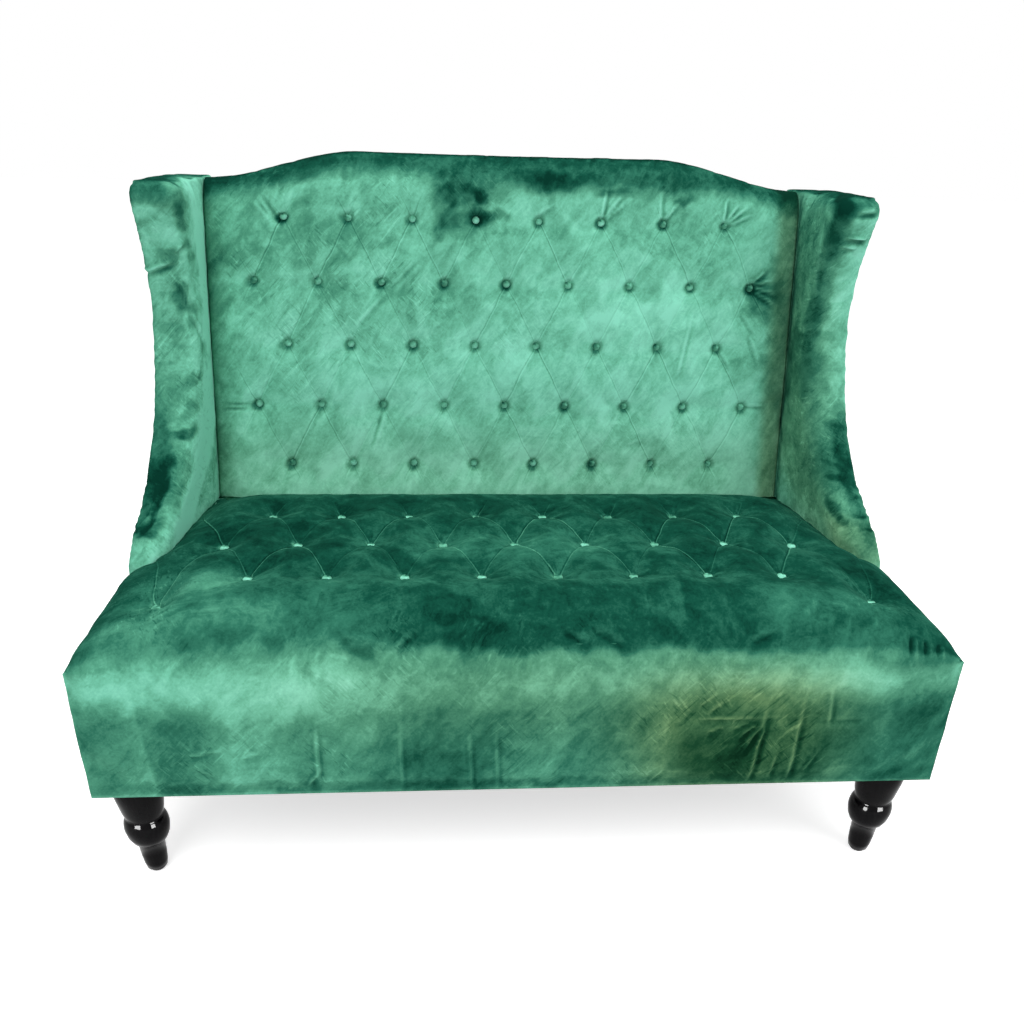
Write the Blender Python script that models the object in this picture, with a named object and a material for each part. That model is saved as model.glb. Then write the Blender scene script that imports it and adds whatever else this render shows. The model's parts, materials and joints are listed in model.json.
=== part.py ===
"""Two-seater wing-back sofa with a buttoned tight seat and a camel-back top.

Metres, +Z up. X runs across the sofa and Y from its front to its back.
The origin is on the floor, below the middle of the whole sofa.
Left is -X, as seen by someone who stands in front of the sofa.

Most pieces are drawn in depths: a depth is measured rearwards from the
front face of the seat. Pieces of the back are drawn in the frame of the
reclined back: X across, Y rearwards from the plane of the buttons and Z
up along the back from the height where the recline is measured.
"""
import math

import bmesh
import bpy
from mathutils import Matrix, Vector

# Fits and cuts
FIT_GAP = 0.0003
CUT_OVERRUN = 0.030

# Seat box, from the front face rearwards
SEAT_WIDTH = 1.300
SEAT_UNDERSIDE_Z = 0.1905
SEAT_BOX_HEIGHT = 0.2095
SEAT_CROWN_RISE = 0.075
SEAT_ROLL_DEPTH = 0.070
SEAT_SKIRT_DRAW_IN = 0.014
SEAT_EAR_DEPTH = 0.268
SEAT_REAR_DROP = 0.037
SEAT_REAR_ROLL = 0.060
SEAT_COVER_WALL = 0.014
SEAT_FOAM_COVER = 0.039
SEAT_FOAM_CHAMFER = 0.040
SOFT_BOTTOM_LIFT = 0.0014

# Buttons of the seat: three rows, the front one first
SEAT_BUTTON_SPACING = 0.1215
SEAT_FRONT_ROW_DEPTH = 0.182
SEAT_ROW_STEP = 0.129
SEAT_BUTTONS_PER_ROW = (10, 9, 8)
SEAT_FOLD_DEPTH = 0.006
SEAT_DIMPLE_DEPTH = 0.015

# Back: the plane of its buttons and its recline
BACK_BEHIND_EARS = 0.350
BACK_DATUM_DROP = 0.015
BACK_RECLINE = math.radians(6.73)
BACK_CREST = 0.013
BACK_SIDE_FALL = 0.008
BACK_TOP_RISE = 0.6205
BACK_ROLL_HEIGHT = 0.055
BACK_ROLL_CREST = 0.024
BACK_ROLL_REAR_DROP = 0.011
BACK_ROLL_REAR_FLAT = 0.006
BACK_COVER_WALL = 0.012
CAMEL_FLAT_HALF = 0.280
CAMEL_END_MARGIN = 0.005
CAMEL_DROP = 0.049
CAMEL_LEAST_SPAN = 0.015

# Buttons of the back: five rows, the lowest one first
BACK_BUTTON_SPACING = 0.118
BACK_LOW_ROW_RISE = 0.0433
BACK_ROW_STEP = 0.1154
BACK_BUTTONS_PER_ROW = (8, 9, 8, 9, 8)
BACK_FOLD_DEPTH = 0.005
BACK_DIMPLE_DEPTH = 0.013

# Dimples round the buttons
DIMPLE_RADIUS = 0.034

# Wings: the outline of the side and its thickness
WING_SIDE_SETBACK = 0.0165
WING_FRONT_THICKNESS = 0.0445
WING_REAR_THICKNESS = 0.0785
WING_FOOT_RISE = 0.040
WING_WAIST_RISE = 0.380
WING_WAIST_REACH = 0.1045
WING_TOP_RISE = 0.205
WING_TOP_REACH = 0.193
WING_TOP_CORNER = 0.030
WING_COVER_WALL = 0.008
WING_ROUND = 0.018
WING_RIM_ROUND = 0.005
WING_PANEL_THICKNESS = 0.018
WING_PANEL_SETBACK = 0.030
WING_OUTER_PANEL_THICKNESS = 0.013
WING_OUTER_PANEL_RECESS = 0.0022
WING_LOWER_SHARES = (
    (0.0, 0.0), (0.03, 0.055), (0.12, 0.098), (0.278, 0.158), (0.49, 0.247),
    (0.658, 0.355), (0.836, 0.543), (0.907, 0.677), (0.989, 0.892), (1.0, 1.0),
)
WING_UPPER_SHARES = ((0.275, 0.12), (0.6, 0.39), (0.825, 0.74))

# Seat frame of solid wood
RAIL_THICKNESS = 0.025
RAIL_HEIGHT = 0.110
FRONT_RAIL_SETBACK = 0.0125
SKIRT_WALL = 0.0105
LEG_BLOCK_SIZE = 0.075
REAR_BLOCK_WIDTH = 0.070
REAR_BLOCK_DEPTH = 0.0715
REAR_RAIL_CLEARANCE = 0.0005
STRETCHER_HEIGHT = 0.060
STRETCHER_HALF_SPACING = 0.200

# Back frame of solid wood
BACK_FRAME_SETBACK = 0.055
BACK_FRAME_THICKNESS = 0.030
TOP_RAIL_HEIGHT = 0.070
TOP_RAIL_COVER = 0.045
BOTTOM_RAIL_HEIGHT = 0.060
BOTTOM_RAIL_RISE = 0.068
STILE_WIDTH = 0.045
STILE_HALF_SPACING = 0.190

# Webbing
WEBBING_THICKNESS = 0.0025
WEBBING_WIDTH = 0.050
SEAT_STRAP_COUNT = 9
SEAT_CROSS_STRAP_COUNT = 4
SEAT_STRAP_SIDE_MARGIN = 0.0997
SEAT_STRAP_FRONT_MARGIN = 0.125
SEAT_STRAP_REAR_MARGIN = 0.1015
WEBBING_HOLD = 0.020
WEBBING_REAR_HOLD = 0.006
BACK_STRAP_COUNT = 7
BACK_CROSS_STRAP_COUNT = 2
BACK_STRAP_SIDE_MARGIN = 0.0747
BACK_CROSS_STRAP_SPACING = 0.160

# Boards and outside covers
LINER_THICKNESS = 0.002
LINER_SIDE_SETBACK = 0.016
OUTSIDE_BACK_THICKNESS = 0.0075
OUTSIDE_BACK_TOP_DROP = 0.014
OUTSIDE_BACK_CORNER = 0.020
DUST_COVER_THICKNESS = 0.0012

# Front legs: radii and heights of the turning, and how the leg leans
FRONT_LEG_LEAN = math.radians(6.0)
FRONT_LEG_LEAN_Z = 0.0825
FOOT_TIP_RADIUS = 0.0118
FOOT_RADIUS = 0.0180
FOOT_TOP_RADIUS = 0.0205
FOOT_ROUND_Z = 0.016
FOOT_BELLY = 0.0012
FOOT_TOP_Z = 0.054
FOOT_LEDGE_HEIGHT = 0.0012
BALL_RADIUS = 0.0342
BALL_Z = 0.083
BALL_LOW_STEP = 0.0097
NECK_STEP = 0.0047
NECK_Z = 0.112
CUP_LOW_RADIUS = 0.0325
CUP_RADIUS = 0.0370
CUP_FLARE_Z = 0.146
CUP_SWELL = 0.0024

# Rear legs: square, tapered and raked rearwards
REAR_LEG_RAKE = 0.026
REAR_LEG_TOP_HALF = 0.0225
REAR_LEG_FOOT_HALF = 0.0145
REAR_LEG_EDGE_BEVEL = 0.003

# Leg fixings and glides
GLIDE_THICKNESS = 0.0035
GLIDE_RADIUS = 0.0115
LEG_BOLT_RADIUS = 0.004
LEG_BOLT_IN_LEG = 0.038
LEG_BOLT_IN_BLOCK = 0.026
INSERT_RADIUS = 0.0062
INSERT_LENGTH = 0.022
BORE_CLEARANCE = 0.0004

# Wing bolts
WING_BOLT_RADIUS = 0.003
WING_BOLT_HEAD_RADIUS = 0.008
WING_BOLT_HEAD_HEIGHT = 0.003
WING_BOLT_TAIL = 0.008
WING_NUT_HALF = 0.0058
WING_NUT_HEIGHT = 0.005
WING_BOLT_DEPTH = 0.430
WING_BOLT_RAIL_RISE = 0.055
WING_BOLT_POST_RISE = 0.280

# How finely round shapes are divided
LEG_SIDES = 20
BOLT_SIDES = 10
NUT_SIDES = 6
BALL_STEPS = 4
GRID_STEPS = 3
SMOOTH_ANGLE = math.radians(35)
NEARLY_PARALLEL = math.radians(1)

# Where the finer lines of a rounded edge lie, as shares of the rounding
SEAT_ROLL_SHARES = (0.0, 0.08, 0.35, 1.0)
EAR_COLUMN_SHARES = (0.43, 0.77, 1.0)
BACK_ROLL_SHARES = (0.5, 1.0)
BACK_REAR_SHARES = (1.0,)
CAMEL_STATION_SHARES = (0.0, 0.2, 0.4, 0.6, 0.8, 1.0)
RIM_SHARE = 1 - math.sqrt(0.5)
LEAST_LINE_SHARE = 0.35

# Derived heights
SEAT_EDGE_Z = SEAT_UNDERSIDE_Z + SEAT_BOX_HEIGHT
SEAT_CROWN_Z = SEAT_EDGE_Z + SEAT_CROWN_RISE
SEAT_REAR_EDGE_Z = SEAT_CROWN_Z - SEAT_REAR_DROP
SEAT_FOAM_TOP_Z = SEAT_CROWN_Z - SEAT_FOAM_COVER
RAIL_BOTTOM_Z = SEAT_UNDERSIDE_Z + DUST_COVER_THICKNESS + FIT_GAP
RAIL_TOP_Z = RAIL_BOTTOM_Z + RAIL_HEIGHT
WEBBING_TOP_Z = RAIL_TOP_Z + FIT_GAP + WEBBING_THICKNESS
FOAM_BOTTOM_Z = WEBBING_TOP_Z + FIT_GAP
SOFT_BOTTOM_Z = FOAM_BOTTOM_Z + SOFT_BOTTOM_LIFT
BOTTOM_RAIL_Z = RAIL_TOP_Z + BOTTOM_RAIL_RISE
BACK_DATUM_Z = SEAT_CROWN_Z - BACK_DATUM_DROP
WING_FOOT_Z = SEAT_EDGE_Z + WING_FOOT_RISE
WING_WAIST_Z = WING_FOOT_Z + WING_WAIST_RISE
WING_TOP_Z = WING_WAIST_Z + WING_TOP_RISE
FOOT_BOTTOM_Z = GLIDE_THICKNESS + FIT_GAP
LEG_TOP_Z = SEAT_UNDERSIDE_Z - FIT_GAP

# Derived distances from the middle of the sofa
SEAT_HALF = SEAT_WIDTH / 2
WING_OUTER_HALF = SEAT_HALF - WING_SIDE_SETBACK
WING_INNER_FRONT_HALF = WING_OUTER_HALF - WING_FRONT_THICKNESS
WING_INNER_REAR_HALF = WING_OUTER_HALF - WING_REAR_THICKNESS
WING_PANEL_OUTER_HALF = (
    WING_OUTER_HALF - WING_OUTER_PANEL_RECESS - WING_OUTER_PANEL_THICKNESS - FIT_GAP
)
WING_PANEL_INNER_HALF = WING_PANEL_OUTER_HALF - WING_PANEL_THICKNESS
FRAME_REAR_HALF = WING_PANEL_INNER_HALF - FIT_GAP
FRAME_FRONT_HALF = SEAT_HALF - SEAT_SKIRT_DRAW_IN - SKIRT_WALL
BACK_COVER_HALF = WING_INNER_REAR_HALF - FIT_GAP
CAMEL_END_HALF = WING_INNER_REAR_HALF - CAMEL_END_MARGIN
POST_INNER_HALF = BACK_COVER_HALF
POST_WIDTH = FRAME_REAR_HALF - POST_INNER_HALF
FRONT_LEG_HALF_SPACING = FRAME_FRONT_HALF - LEG_BLOCK_SIZE / 2
REAR_LEG_HALF_SPACING = FRAME_REAR_HALF - REAR_BLOCK_WIDTH / 2
SEAT_STRAP_SPAN = 2 * (FRAME_REAR_HALF - SEAT_STRAP_SIDE_MARGIN)
BACK_STRAP_SPAN = 2 * (POST_INNER_HALF - BACK_STRAP_SIDE_MARGIN)

# Derived layers of the back, rearwards from the plane of its buttons
BACK_FRAME_REAR = BACK_FRAME_SETBACK + BACK_FRAME_THICKNESS
BACK_FOAM_REAR = BACK_FRAME_SETBACK - WEBBING_THICKNESS - 2 * FIT_GAP
LINER_FRONT = BACK_FRAME_REAR + FIT_GAP
LINER_REAR = LINER_FRONT + LINER_THICKNESS
OUTSIDE_BACK_FRONT = LINER_REAR + FIT_GAP
OUTSIDE_BACK_REAR = OUTSIDE_BACK_FRONT + OUTSIDE_BACK_THICKNESS
BACK_COVER_REAR = OUTSIDE_BACK_FRONT - FIT_GAP

# Derived depths
BACK_BUTTON_DEPTH = SEAT_EAR_DEPTH + BACK_BEHIND_EARS
REAR_RAIL_DEPTH = (
    BACK_BUTTON_DEPTH
    + BACK_FRAME_REAR / math.cos(BACK_RECLINE)
    + (RAIL_BOTTOM_Z - BACK_DATUM_Z) * math.tan(BACK_RECLINE)
    - RAIL_THICKNESS
    - REAR_RAIL_CLEARANCE
)
SEAT_CROSS_STRAP_SPAN = REAR_RAIL_DEPTH - SEAT_STRAP_REAR_MARGIN - SEAT_STRAP_FRONT_MARGIN
FRONT_LEG_DEPTH = FRONT_RAIL_SETBACK + RAIL_THICKNESS + FIT_GAP + LEG_BLOCK_SIZE / 2
REAR_LEG_TOP_DEPTH = REAR_RAIL_DEPTH - FIT_GAP - REAR_BLOCK_DEPTH / 2
SEAT_MIDDLE_ROW_DEPTH = SEAT_FRONT_ROW_DEPTH + SEAT_ROW_STEP
OVERALL_DEPTH = (
    BACK_BUTTON_DEPTH
    + OUTSIDE_BACK_REAR * math.cos(BACK_RECLINE)
    + (BACK_TOP_RISE - OUTSIDE_BACK_TOP_DROP) * math.sin(BACK_RECLINE)
)
FRONT_Y = -OVERALL_DEPTH / 2

# Derived grid of the tufted covers and radii of the front legs
SEAT_GRID_X = SEAT_BUTTON_SPACING / (2 * GRID_STEPS)
SEAT_GRID_DEPTH = SEAT_ROW_STEP / GRID_STEPS
BACK_GRID_X = BACK_BUTTON_SPACING / (2 * GRID_STEPS)
BACK_GRID_RISE = BACK_ROW_STEP / GRID_STEPS
BALL_LOW_RADIUS = BALL_RADIUS - BALL_LOW_STEP
NECK_RADIUS = BALL_RADIUS - NECK_STEP


def remove_old_objects():
    """Empty the scene."""
    for old in list(bpy.data.objects):
        bpy.data.objects.remove(old, do_unlink=True)


def make_material(name, colour, roughness, metallic=0.0):
    """A Principled material of one colour."""
    material = bpy.data.materials.new(name)
    material.use_nodes = True
    shader = material.node_tree.nodes["Principled BSDF"]
    shader.inputs["Base Color"].default_value = (*colour, 1)
    shader.inputs["Roughness"].default_value = roughness
    shader.inputs["Metallic"].default_value = metallic
    material.diffuse_color = (*colour, 1)
    return material


def make_empty(name, place, turn=(0, 0, 0)):
    """A frame that other pieces are parented to."""
    empty = bpy.data.objects.new(name, None)
    empty.location = place
    empty.rotation_euler = turn
    bpy.context.scene.collection.objects.link(empty)
    return empty


def make_piece(name, bm, parent, material=None, smooth=False):
    """Turn a bmesh into a named object under its parent frame."""
    bmesh.ops.recalc_face_normals(bm, faces=bm.faces)
    if bm.calc_volume(signed=True) < 0:
        bmesh.ops.reverse_faces(bm, faces=bm.faces)
    mesh = bpy.data.meshes.new(name)
    bm.to_mesh(mesh)
    bm.free()
    if material is not None:
        mesh.materials.append(material)
    if smooth:
        mesh.shade_smooth()
        mesh.set_sharp_from_angle(angle=SMOOTH_ANGLE)
    piece = bpy.data.objects.new(name, mesh)
    piece.parent = parent
    bpy.context.scene.collection.objects.link(piece)
    return piece


def make_cutter(name, bm, parent):
    """An object that only cuts others."""
    cutter = make_piece(name, bm, parent)
    cutter.hide_render = True
    cutter.display_type = "WIRE"
    return cutter


def cut(piece, cutter):
    """Cut one object out of another."""
    modifier = piece.modifiers.new(cutter.name, "BOOLEAN")
    modifier.operation = "DIFFERENCE"
    modifier.solver = "EXACT"
    modifier.object = cutter


def add_block(bm, low, high):
    """A block between two opposite corners."""
    low = Vector(low)
    high = Vector(high)
    place = Matrix.Translation((low + high) / 2) @ Matrix.Diagonal((*(high - low), 1))
    bmesh.ops.create_cube(bm, size=1, matrix=place)


def block(name, low, high, parent, material):
    """A named block between two opposite corners."""
    bm = bmesh.new()
    add_block(bm, low, high)
    return make_piece(name, bm, parent, material)


def side_block(name, side, near, far, parent, material):
    """A block whose across values are given for the right side."""
    low_x, high_x = sorted((side * near[0], side * far[0]))
    return block(name, (low_x, *near[1:]), (high_x, *far[1:]), parent, material)


def add_prism(bm, outline, shift):
    """Extrude a closed outline of 3-D points by a vector."""
    face = bm.faces.new([bm.verts.new(point) for point in outline])
    extruded = bmesh.ops.extrude_face_region(bm, geom=[face], use_keep_orig=True)
    moved = [item for item in extruded["geom"] if isinstance(item, bmesh.types.BMVert)]
    bmesh.ops.translate(bm, verts=moved, vec=shift)


def add_turned(bm, profile, sides, place, tube=False):
    """Turn a profile of (radius, height) about Z and put it in place."""
    rings = []
    for radius, height in profile:
        ring = []
        for step in range(sides):
            angle = 2 * math.pi * step / sides
            point = Vector((radius * math.cos(angle), radius * math.sin(angle), height))
            ring.append(bm.verts.new(place @ point))
        rings.append(ring)
    pairs = list(zip(rings, rings[1:]))
    if tube:
        pairs.append((rings[-1], rings[0]))
    else:
        bm.faces.new(rings[0])
        bm.faces.new(rings[-1])
    for lower, upper in pairs:
        for step in range(sides):
            after = (step + 1) % sides
            bm.faces.new((lower[step], lower[after], upper[after], upper[step]))


def add_sheet(bm, rows):
    """Four-sided faces between rows of points, where None leaves a gap."""
    grid = [[bm.verts.new(point) if point else None for point in row] for row in rows]
    for near, far in zip(grid, grid[1:]):
        for column in range(len(near) - 1):
            corners = (near[column], near[column + 1], far[column + 1], far[column])
            if None not in corners:
                bm.faces.new(corners)


def split_cells(bm, depth_of):
    """Split each cell along its deeper diagonal, so that folds run along edges."""
    for face in [item for item in bm.faces if len(item.verts) == 4]:
        first, second, third, fourth = face.verts
        if depth_of(first.co) + depth_of(third.co) >= depth_of(second.co) + depth_of(fourth.co):
            bmesh.utils.face_split(face, first, third)
        else:
            bmesh.utils.face_split(face, second, fourth)


def close_below(bm, move_down):
    """Extrude a sheet's border, move it and fill the opening."""
    border = [edge for edge in bm.edges if edge.is_boundary]
    extruded = bmesh.ops.extrude_edge_only(bm, edges=border)["geom"]
    for vertex in [item for item in extruded if isinstance(item, bmesh.types.BMVert)]:
        vertex.co = move_down(vertex.co)
    rim = [item for item in extruded if isinstance(item, bmesh.types.BMEdge)]
    rim = [edge for edge in rim if edge.is_boundary]
    bmesh.ops.edgeloop_fill(bm, edges=rim)


def merge_lines(wanted, filling, least):
    """Put lines in order, leaving out those that crowd a wanted one."""
    kept = [line for line in filling if all(abs(line - other) > least for other in wanted)]
    return sorted(set(wanted) | set(kept))


def smooth_step(share):
    """Ease from 0 to 1."""
    share = min(max(share, 0), 1)
    return share * share * (3 - 2 * share)


def round_over(share):
    """Height of a quarter round at a share of its width."""
    share = min(max(share, 0), 1)
    return math.sqrt(1 - (1 - share) ** 2)


def lean_depth(rearwards, height):
    """Depth of a point of the reclined back at a height."""
    return (
        BACK_BUTTON_DEPTH
        + rearwards / math.cos(BACK_RECLINE)
        + (height - BACK_DATUM_Z) * math.tan(BACK_RECLINE)
    )


def rise_at(rearwards, height):
    """Distance up the reclined back at which a point reaches a height."""
    drop = rearwards * math.sin(BACK_RECLINE)
    return (height - BACK_DATUM_Z + drop) / math.cos(BACK_RECLINE)


def wing_inner_half(depth):
    """Distance of a wing's inner face from the middle of the sofa."""
    rear = lean_depth(-BACK_CREST, SEAT_REAR_EDGE_Z)
    share = (depth - SEAT_EAR_DEPTH) / (rear - SEAT_EAR_DEPTH)
    share = min(max(share, 0), 1)
    return WING_INNER_FRONT_HALF + share * (WING_INNER_REAR_HALF - WING_INNER_FRONT_HALF)


def camel_rise(across):
    """Top line of the back, up along the back."""
    share = (abs(across) - CAMEL_FLAT_HALF) / (CAMEL_END_HALF - CAMEL_FLAT_HALF)
    return BACK_TOP_RISE - CAMEL_DROP * smooth_step(share)


def button_places(counts, spacing, first, step):
    """Places of the buttons: rows are centred and one apart."""
    places = []
    for row, count in enumerate(counts):
        for number in range(count):
            across = (number - (count - 1) / 2) * spacing
            places.append((across, first + row * step))
    return places


SEAT_BUTTON_PLACES = button_places(
    SEAT_BUTTONS_PER_ROW, SEAT_BUTTON_SPACING, SEAT_FRONT_ROW_DEPTH, SEAT_ROW_STEP
)
BACK_BUTTON_PLACES = button_places(
    BACK_BUTTONS_PER_ROW, BACK_BUTTON_SPACING, BACK_LOW_ROW_RISE, BACK_ROW_STEP
)


def tuft_depth(across, along, places, pitch, depths):
    """How deep the folds and the buttons pull a cover in.

    pitch is (spacing across, step along, an even row) and depths is
    (depth of the folds, depth of the dimples).
    """
    spacing, step, even_row = pitch
    fold, dimple = depths
    rows = [place[1] for place in places]
    reach = max(abs(place[0]) for place in places)
    slant = (along - even_row) / (2 * step)
    pillow = 1
    for lattice in (across / spacing + slant, across / spacing - slant):
        line = abs(2 * (lattice - math.floor(lattice)) - 1)
        pillow *= 1 - line ** 2
    beyond = max(min(rows) - along, along - max(rows), 0) / step
    outside = max(abs(across) - reach, 0) / spacing
    fade = (1 - smooth_step(beyond)) * (1 - smooth_step(2 * outside))
    nearest = min(math.dist((across, along), place) for place in places)
    pull = 1 - smooth_step(nearest / DIMPLE_RADIUS)
    return fold * (1 - pillow) * fade * (1 - pull) + dimple * pull


def seat_tuft_depth(across, depth):
    """How deep the seat is pulled in."""
    pitch = (SEAT_BUTTON_SPACING, SEAT_ROW_STEP, SEAT_MIDDLE_ROW_DEPTH)
    depths = (SEAT_FOLD_DEPTH, SEAT_DIMPLE_DEPTH)
    return tuft_depth(across, depth, SEAT_BUTTON_PLACES, pitch, depths)


def back_tuft_depth(across, rise):
    """How deep the back is pulled in."""
    pitch = (BACK_BUTTON_SPACING, BACK_ROW_STEP, BACK_LOW_ROW_RISE + BACK_ROW_STEP)
    depths = (BACK_FOLD_DEPTH, BACK_DIMPLE_DEPTH)
    return tuft_depth(across, rise, BACK_BUTTON_PLACES, pitch, depths)


def seat_rear_depth(height):
    """Depth at which the seat meets the back."""
    return lean_depth(-BACK_CREST, height) - FIT_GAP


def seat_top_z(across, depth):
    """Height of the seat, with its rolled edges and its tufts."""
    front = round_over(depth / SEAT_ROLL_DEPTH)
    side = round_over((SEAT_HALF - abs(across)) / SEAT_ROLL_DEPTH)
    free_z = SEAT_EDGE_Z + SEAT_CROWN_RISE * front * side
    if depth <= SEAT_EAR_DEPTH:
        return free_z - seat_tuft_depth(across, depth)
    to_wing = (wing_inner_half(depth) - abs(across)) / SEAT_REAR_ROLL
    to_back = (seat_rear_depth(SEAT_REAR_EDGE_Z) - depth) / SEAT_REAR_ROLL
    from_ear = smooth_step((depth - SEAT_EAR_DEPTH) / SEAT_GRID_DEPTH)
    fall = 1 - round_over(to_wing) * round_over(to_back)
    held_z = SEAT_CROWN_Z - fall * SEAT_REAR_DROP
    return free_z + (held_z - free_z) * from_ear - seat_tuft_depth(across, depth)


def seat_grid():
    """Rows of points on top of the seat, front row first."""
    rear = seat_rear_depth(SEAT_REAR_EDGE_Z)
    wanted = [share * SEAT_ROLL_DEPTH for share in SEAT_ROLL_SHARES]
    wanted += [SEAT_EAR_DEPTH, rear]
    first = SEAT_FRONT_ROW_DEPTH % SEAT_GRID_DEPTH
    count = int(rear / SEAT_GRID_DEPTH) + 1
    lattice = [first + step * SEAT_GRID_DEPTH for step in range(count)]
    lattice = [depth for depth in lattice if SEAT_ROLL_DEPTH < depth < rear]
    depths = merge_lines(wanted, lattice, SEAT_GRID_DEPTH * LEAST_LINE_SHARE)

    least = SEAT_GRID_X * LEAST_LINE_SHARE
    core = int((min(WING_INNER_REAR_HALF, WING_INNER_FRONT_HALF) - least) / SEAT_GRID_X)
    rows = []
    for depth in depths:
        inner = wing_inner_half(depth) - FIT_GAP
        half = [step * SEAT_GRID_X for step in range(core + 1)]
        half.append(inner)
        for share in EAR_COLUMN_SHARES:
            is_ear = depth <= SEAT_EAR_DEPTH
            half.append(inner + share * (SEAT_HALF - inner) if is_ear else None)
        row = [None if across is None else -across for across in reversed(half[1:])] + half
        points = []
        for across in row:
            if across is None:
                points.append(None)
            else:
                points.append((across, depth, seat_top_z(across, depth)))
        rows.append(points)
    return rows


def seat_skirt_foot(point):
    """Where the border of the seat's top comes down to the underside."""
    across, depth, _ = point
    inner = wing_inner_half(depth) - FIT_GAP
    if depth < SEAT_EAR_DEPTH + FIT_GAP:
        outside = max(abs(across) - inner, 0) / (SEAT_HALF - inner)
        across -= math.copysign(SEAT_SKIRT_DRAW_IN * outside, across)
        return Vector((across, depth, SEAT_UNDERSIDE_Z))
    rear = seat_rear_depth(SEAT_REAR_EDGE_Z) - SEAT_EAR_DEPTH
    low_rear = seat_rear_depth(SEAT_UNDERSIDE_Z) - SEAT_EAR_DEPTH
    depth = SEAT_EAR_DEPTH + (depth - SEAT_EAR_DEPTH) * low_rear / rear
    if abs(across) > inner - FIT_GAP:
        across = math.copysign(wing_inner_half(depth) - FIT_GAP, across)
    return Vector((across, depth, SEAT_UNDERSIDE_Z))


def add_seat_core(bm, wall, top_z, bottom_z):
    """The T-shaped space inside the seat cover, a wall away from its outside."""
    front = wall
    ear = SEAT_EAR_DEPTH - wall
    half = SEAT_HALF - wall
    inner_front = WING_INNER_FRONT_HALF - FIT_GAP - wall
    inner_rear = WING_INNER_REAR_HALF - FIT_GAP - wall
    rear_top = seat_rear_depth(top_z) - wall
    rear_bottom = seat_rear_depth(bottom_z) - wall
    chamfer = SEAT_FOAM_CHAMFER
    plan = ((half, front), (half, ear), (inner_front, ear), (inner_rear, None))

    def ring(height, edge, rear):
        right = []
        for across, depth in plan:
            depth = rear if depth is None else depth
            across = across - edge if across == half else across
            depth = depth + edge if depth == front else depth
            right.append((across, depth, height))
        left = [(-across, depth, height) for across, depth, height in reversed(right)]
        return [bm.verts.new(point) for point in right + left]

    rings = [
        ring(bottom_z, 0, rear_bottom),
        ring(top_z - chamfer, 0, seat_rear_depth(top_z - chamfer) - wall),
        ring(top_z, chamfer, rear_top),
    ]
    bm.faces.new(rings[0])
    bm.faces.new(rings[-1])
    for lower, upper in zip(rings, rings[1:]):
        for step in range(len(lower)):
            after = (step + 1) % len(lower)
            bm.faces.new((lower[step], lower[after], upper[after], upper[step]))


def make_seat_soft(datum, velvet, foam):
    """Seat foam and tufted seat cover."""
    bm = bmesh.new()
    add_seat_core(bm, SEAT_COVER_WALL + FIT_GAP, SEAT_FOAM_TOP_Z - FIT_GAP, FOAM_BOTTOM_Z)
    make_piece("seat_foam", bm, datum, foam)

    bm = bmesh.new()
    add_sheet(bm, seat_grid())
    split_cells(bm, lambda point: seat_tuft_depth(point.x, point.y))
    close_below(bm, seat_skirt_foot)
    cover = make_piece("seat_cover", bm, datum, velvet, smooth=True)

    bm = bmesh.new()
    add_seat_core(bm, SEAT_COVER_WALL, SEAT_FOAM_TOP_Z, SOFT_BOTTOM_Z - CUT_OVERRUN)
    cut(cover, make_cutter("seat_foam_space", bm, datum))

    bm = bmesh.new()
    low = (-FRAME_FRONT_HALF - FIT_GAP, FRONT_RAIL_SETBACK - FIT_GAP, SEAT_UNDERSIDE_Z - CUT_OVERRUN)
    high = (FRAME_FRONT_HALF + FIT_GAP, BACK_BUTTON_DEPTH + CUT_OVERRUN, SOFT_BOTTOM_Z)
    add_block(bm, low, high)
    cut(cover, make_cutter("seat_frame_space", bm, datum))


def back_front(across, rise):
    """How far the back's front lies rearwards of its button plane."""
    to_wing = (BACK_COVER_HALF - abs(across)) / BACK_ROLL_HEIGHT
    fall = BACK_SIDE_FALL * (1 - round_over(to_wing))
    return -BACK_CREST + fall + back_tuft_depth(across, rise)


def back_roll(share, wall):
    """A point of the roll over the top, as (rearwards, drop below the top).

    Shares up to 1 lie on the front quarter, and shares from 1 to 2 on the
    slope behind it. The wall is taken off the outside.
    """
    front = -BACK_CREST + wall
    crest = BACK_ROLL_CREST
    if share <= 1:
        angle = share * math.pi / 2
        rearwards = crest - (crest - front) * math.cos(angle)
        return rearwards, wall + (BACK_ROLL_HEIGHT - wall) * (1 - math.sin(angle))
    behind = share - 1
    rearwards = crest + behind * (BACK_COVER_REAR - BACK_ROLL_REAR_FLAT - crest)
    return rearwards, wall + BACK_ROLL_REAR_DROP * behind ** 2


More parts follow.
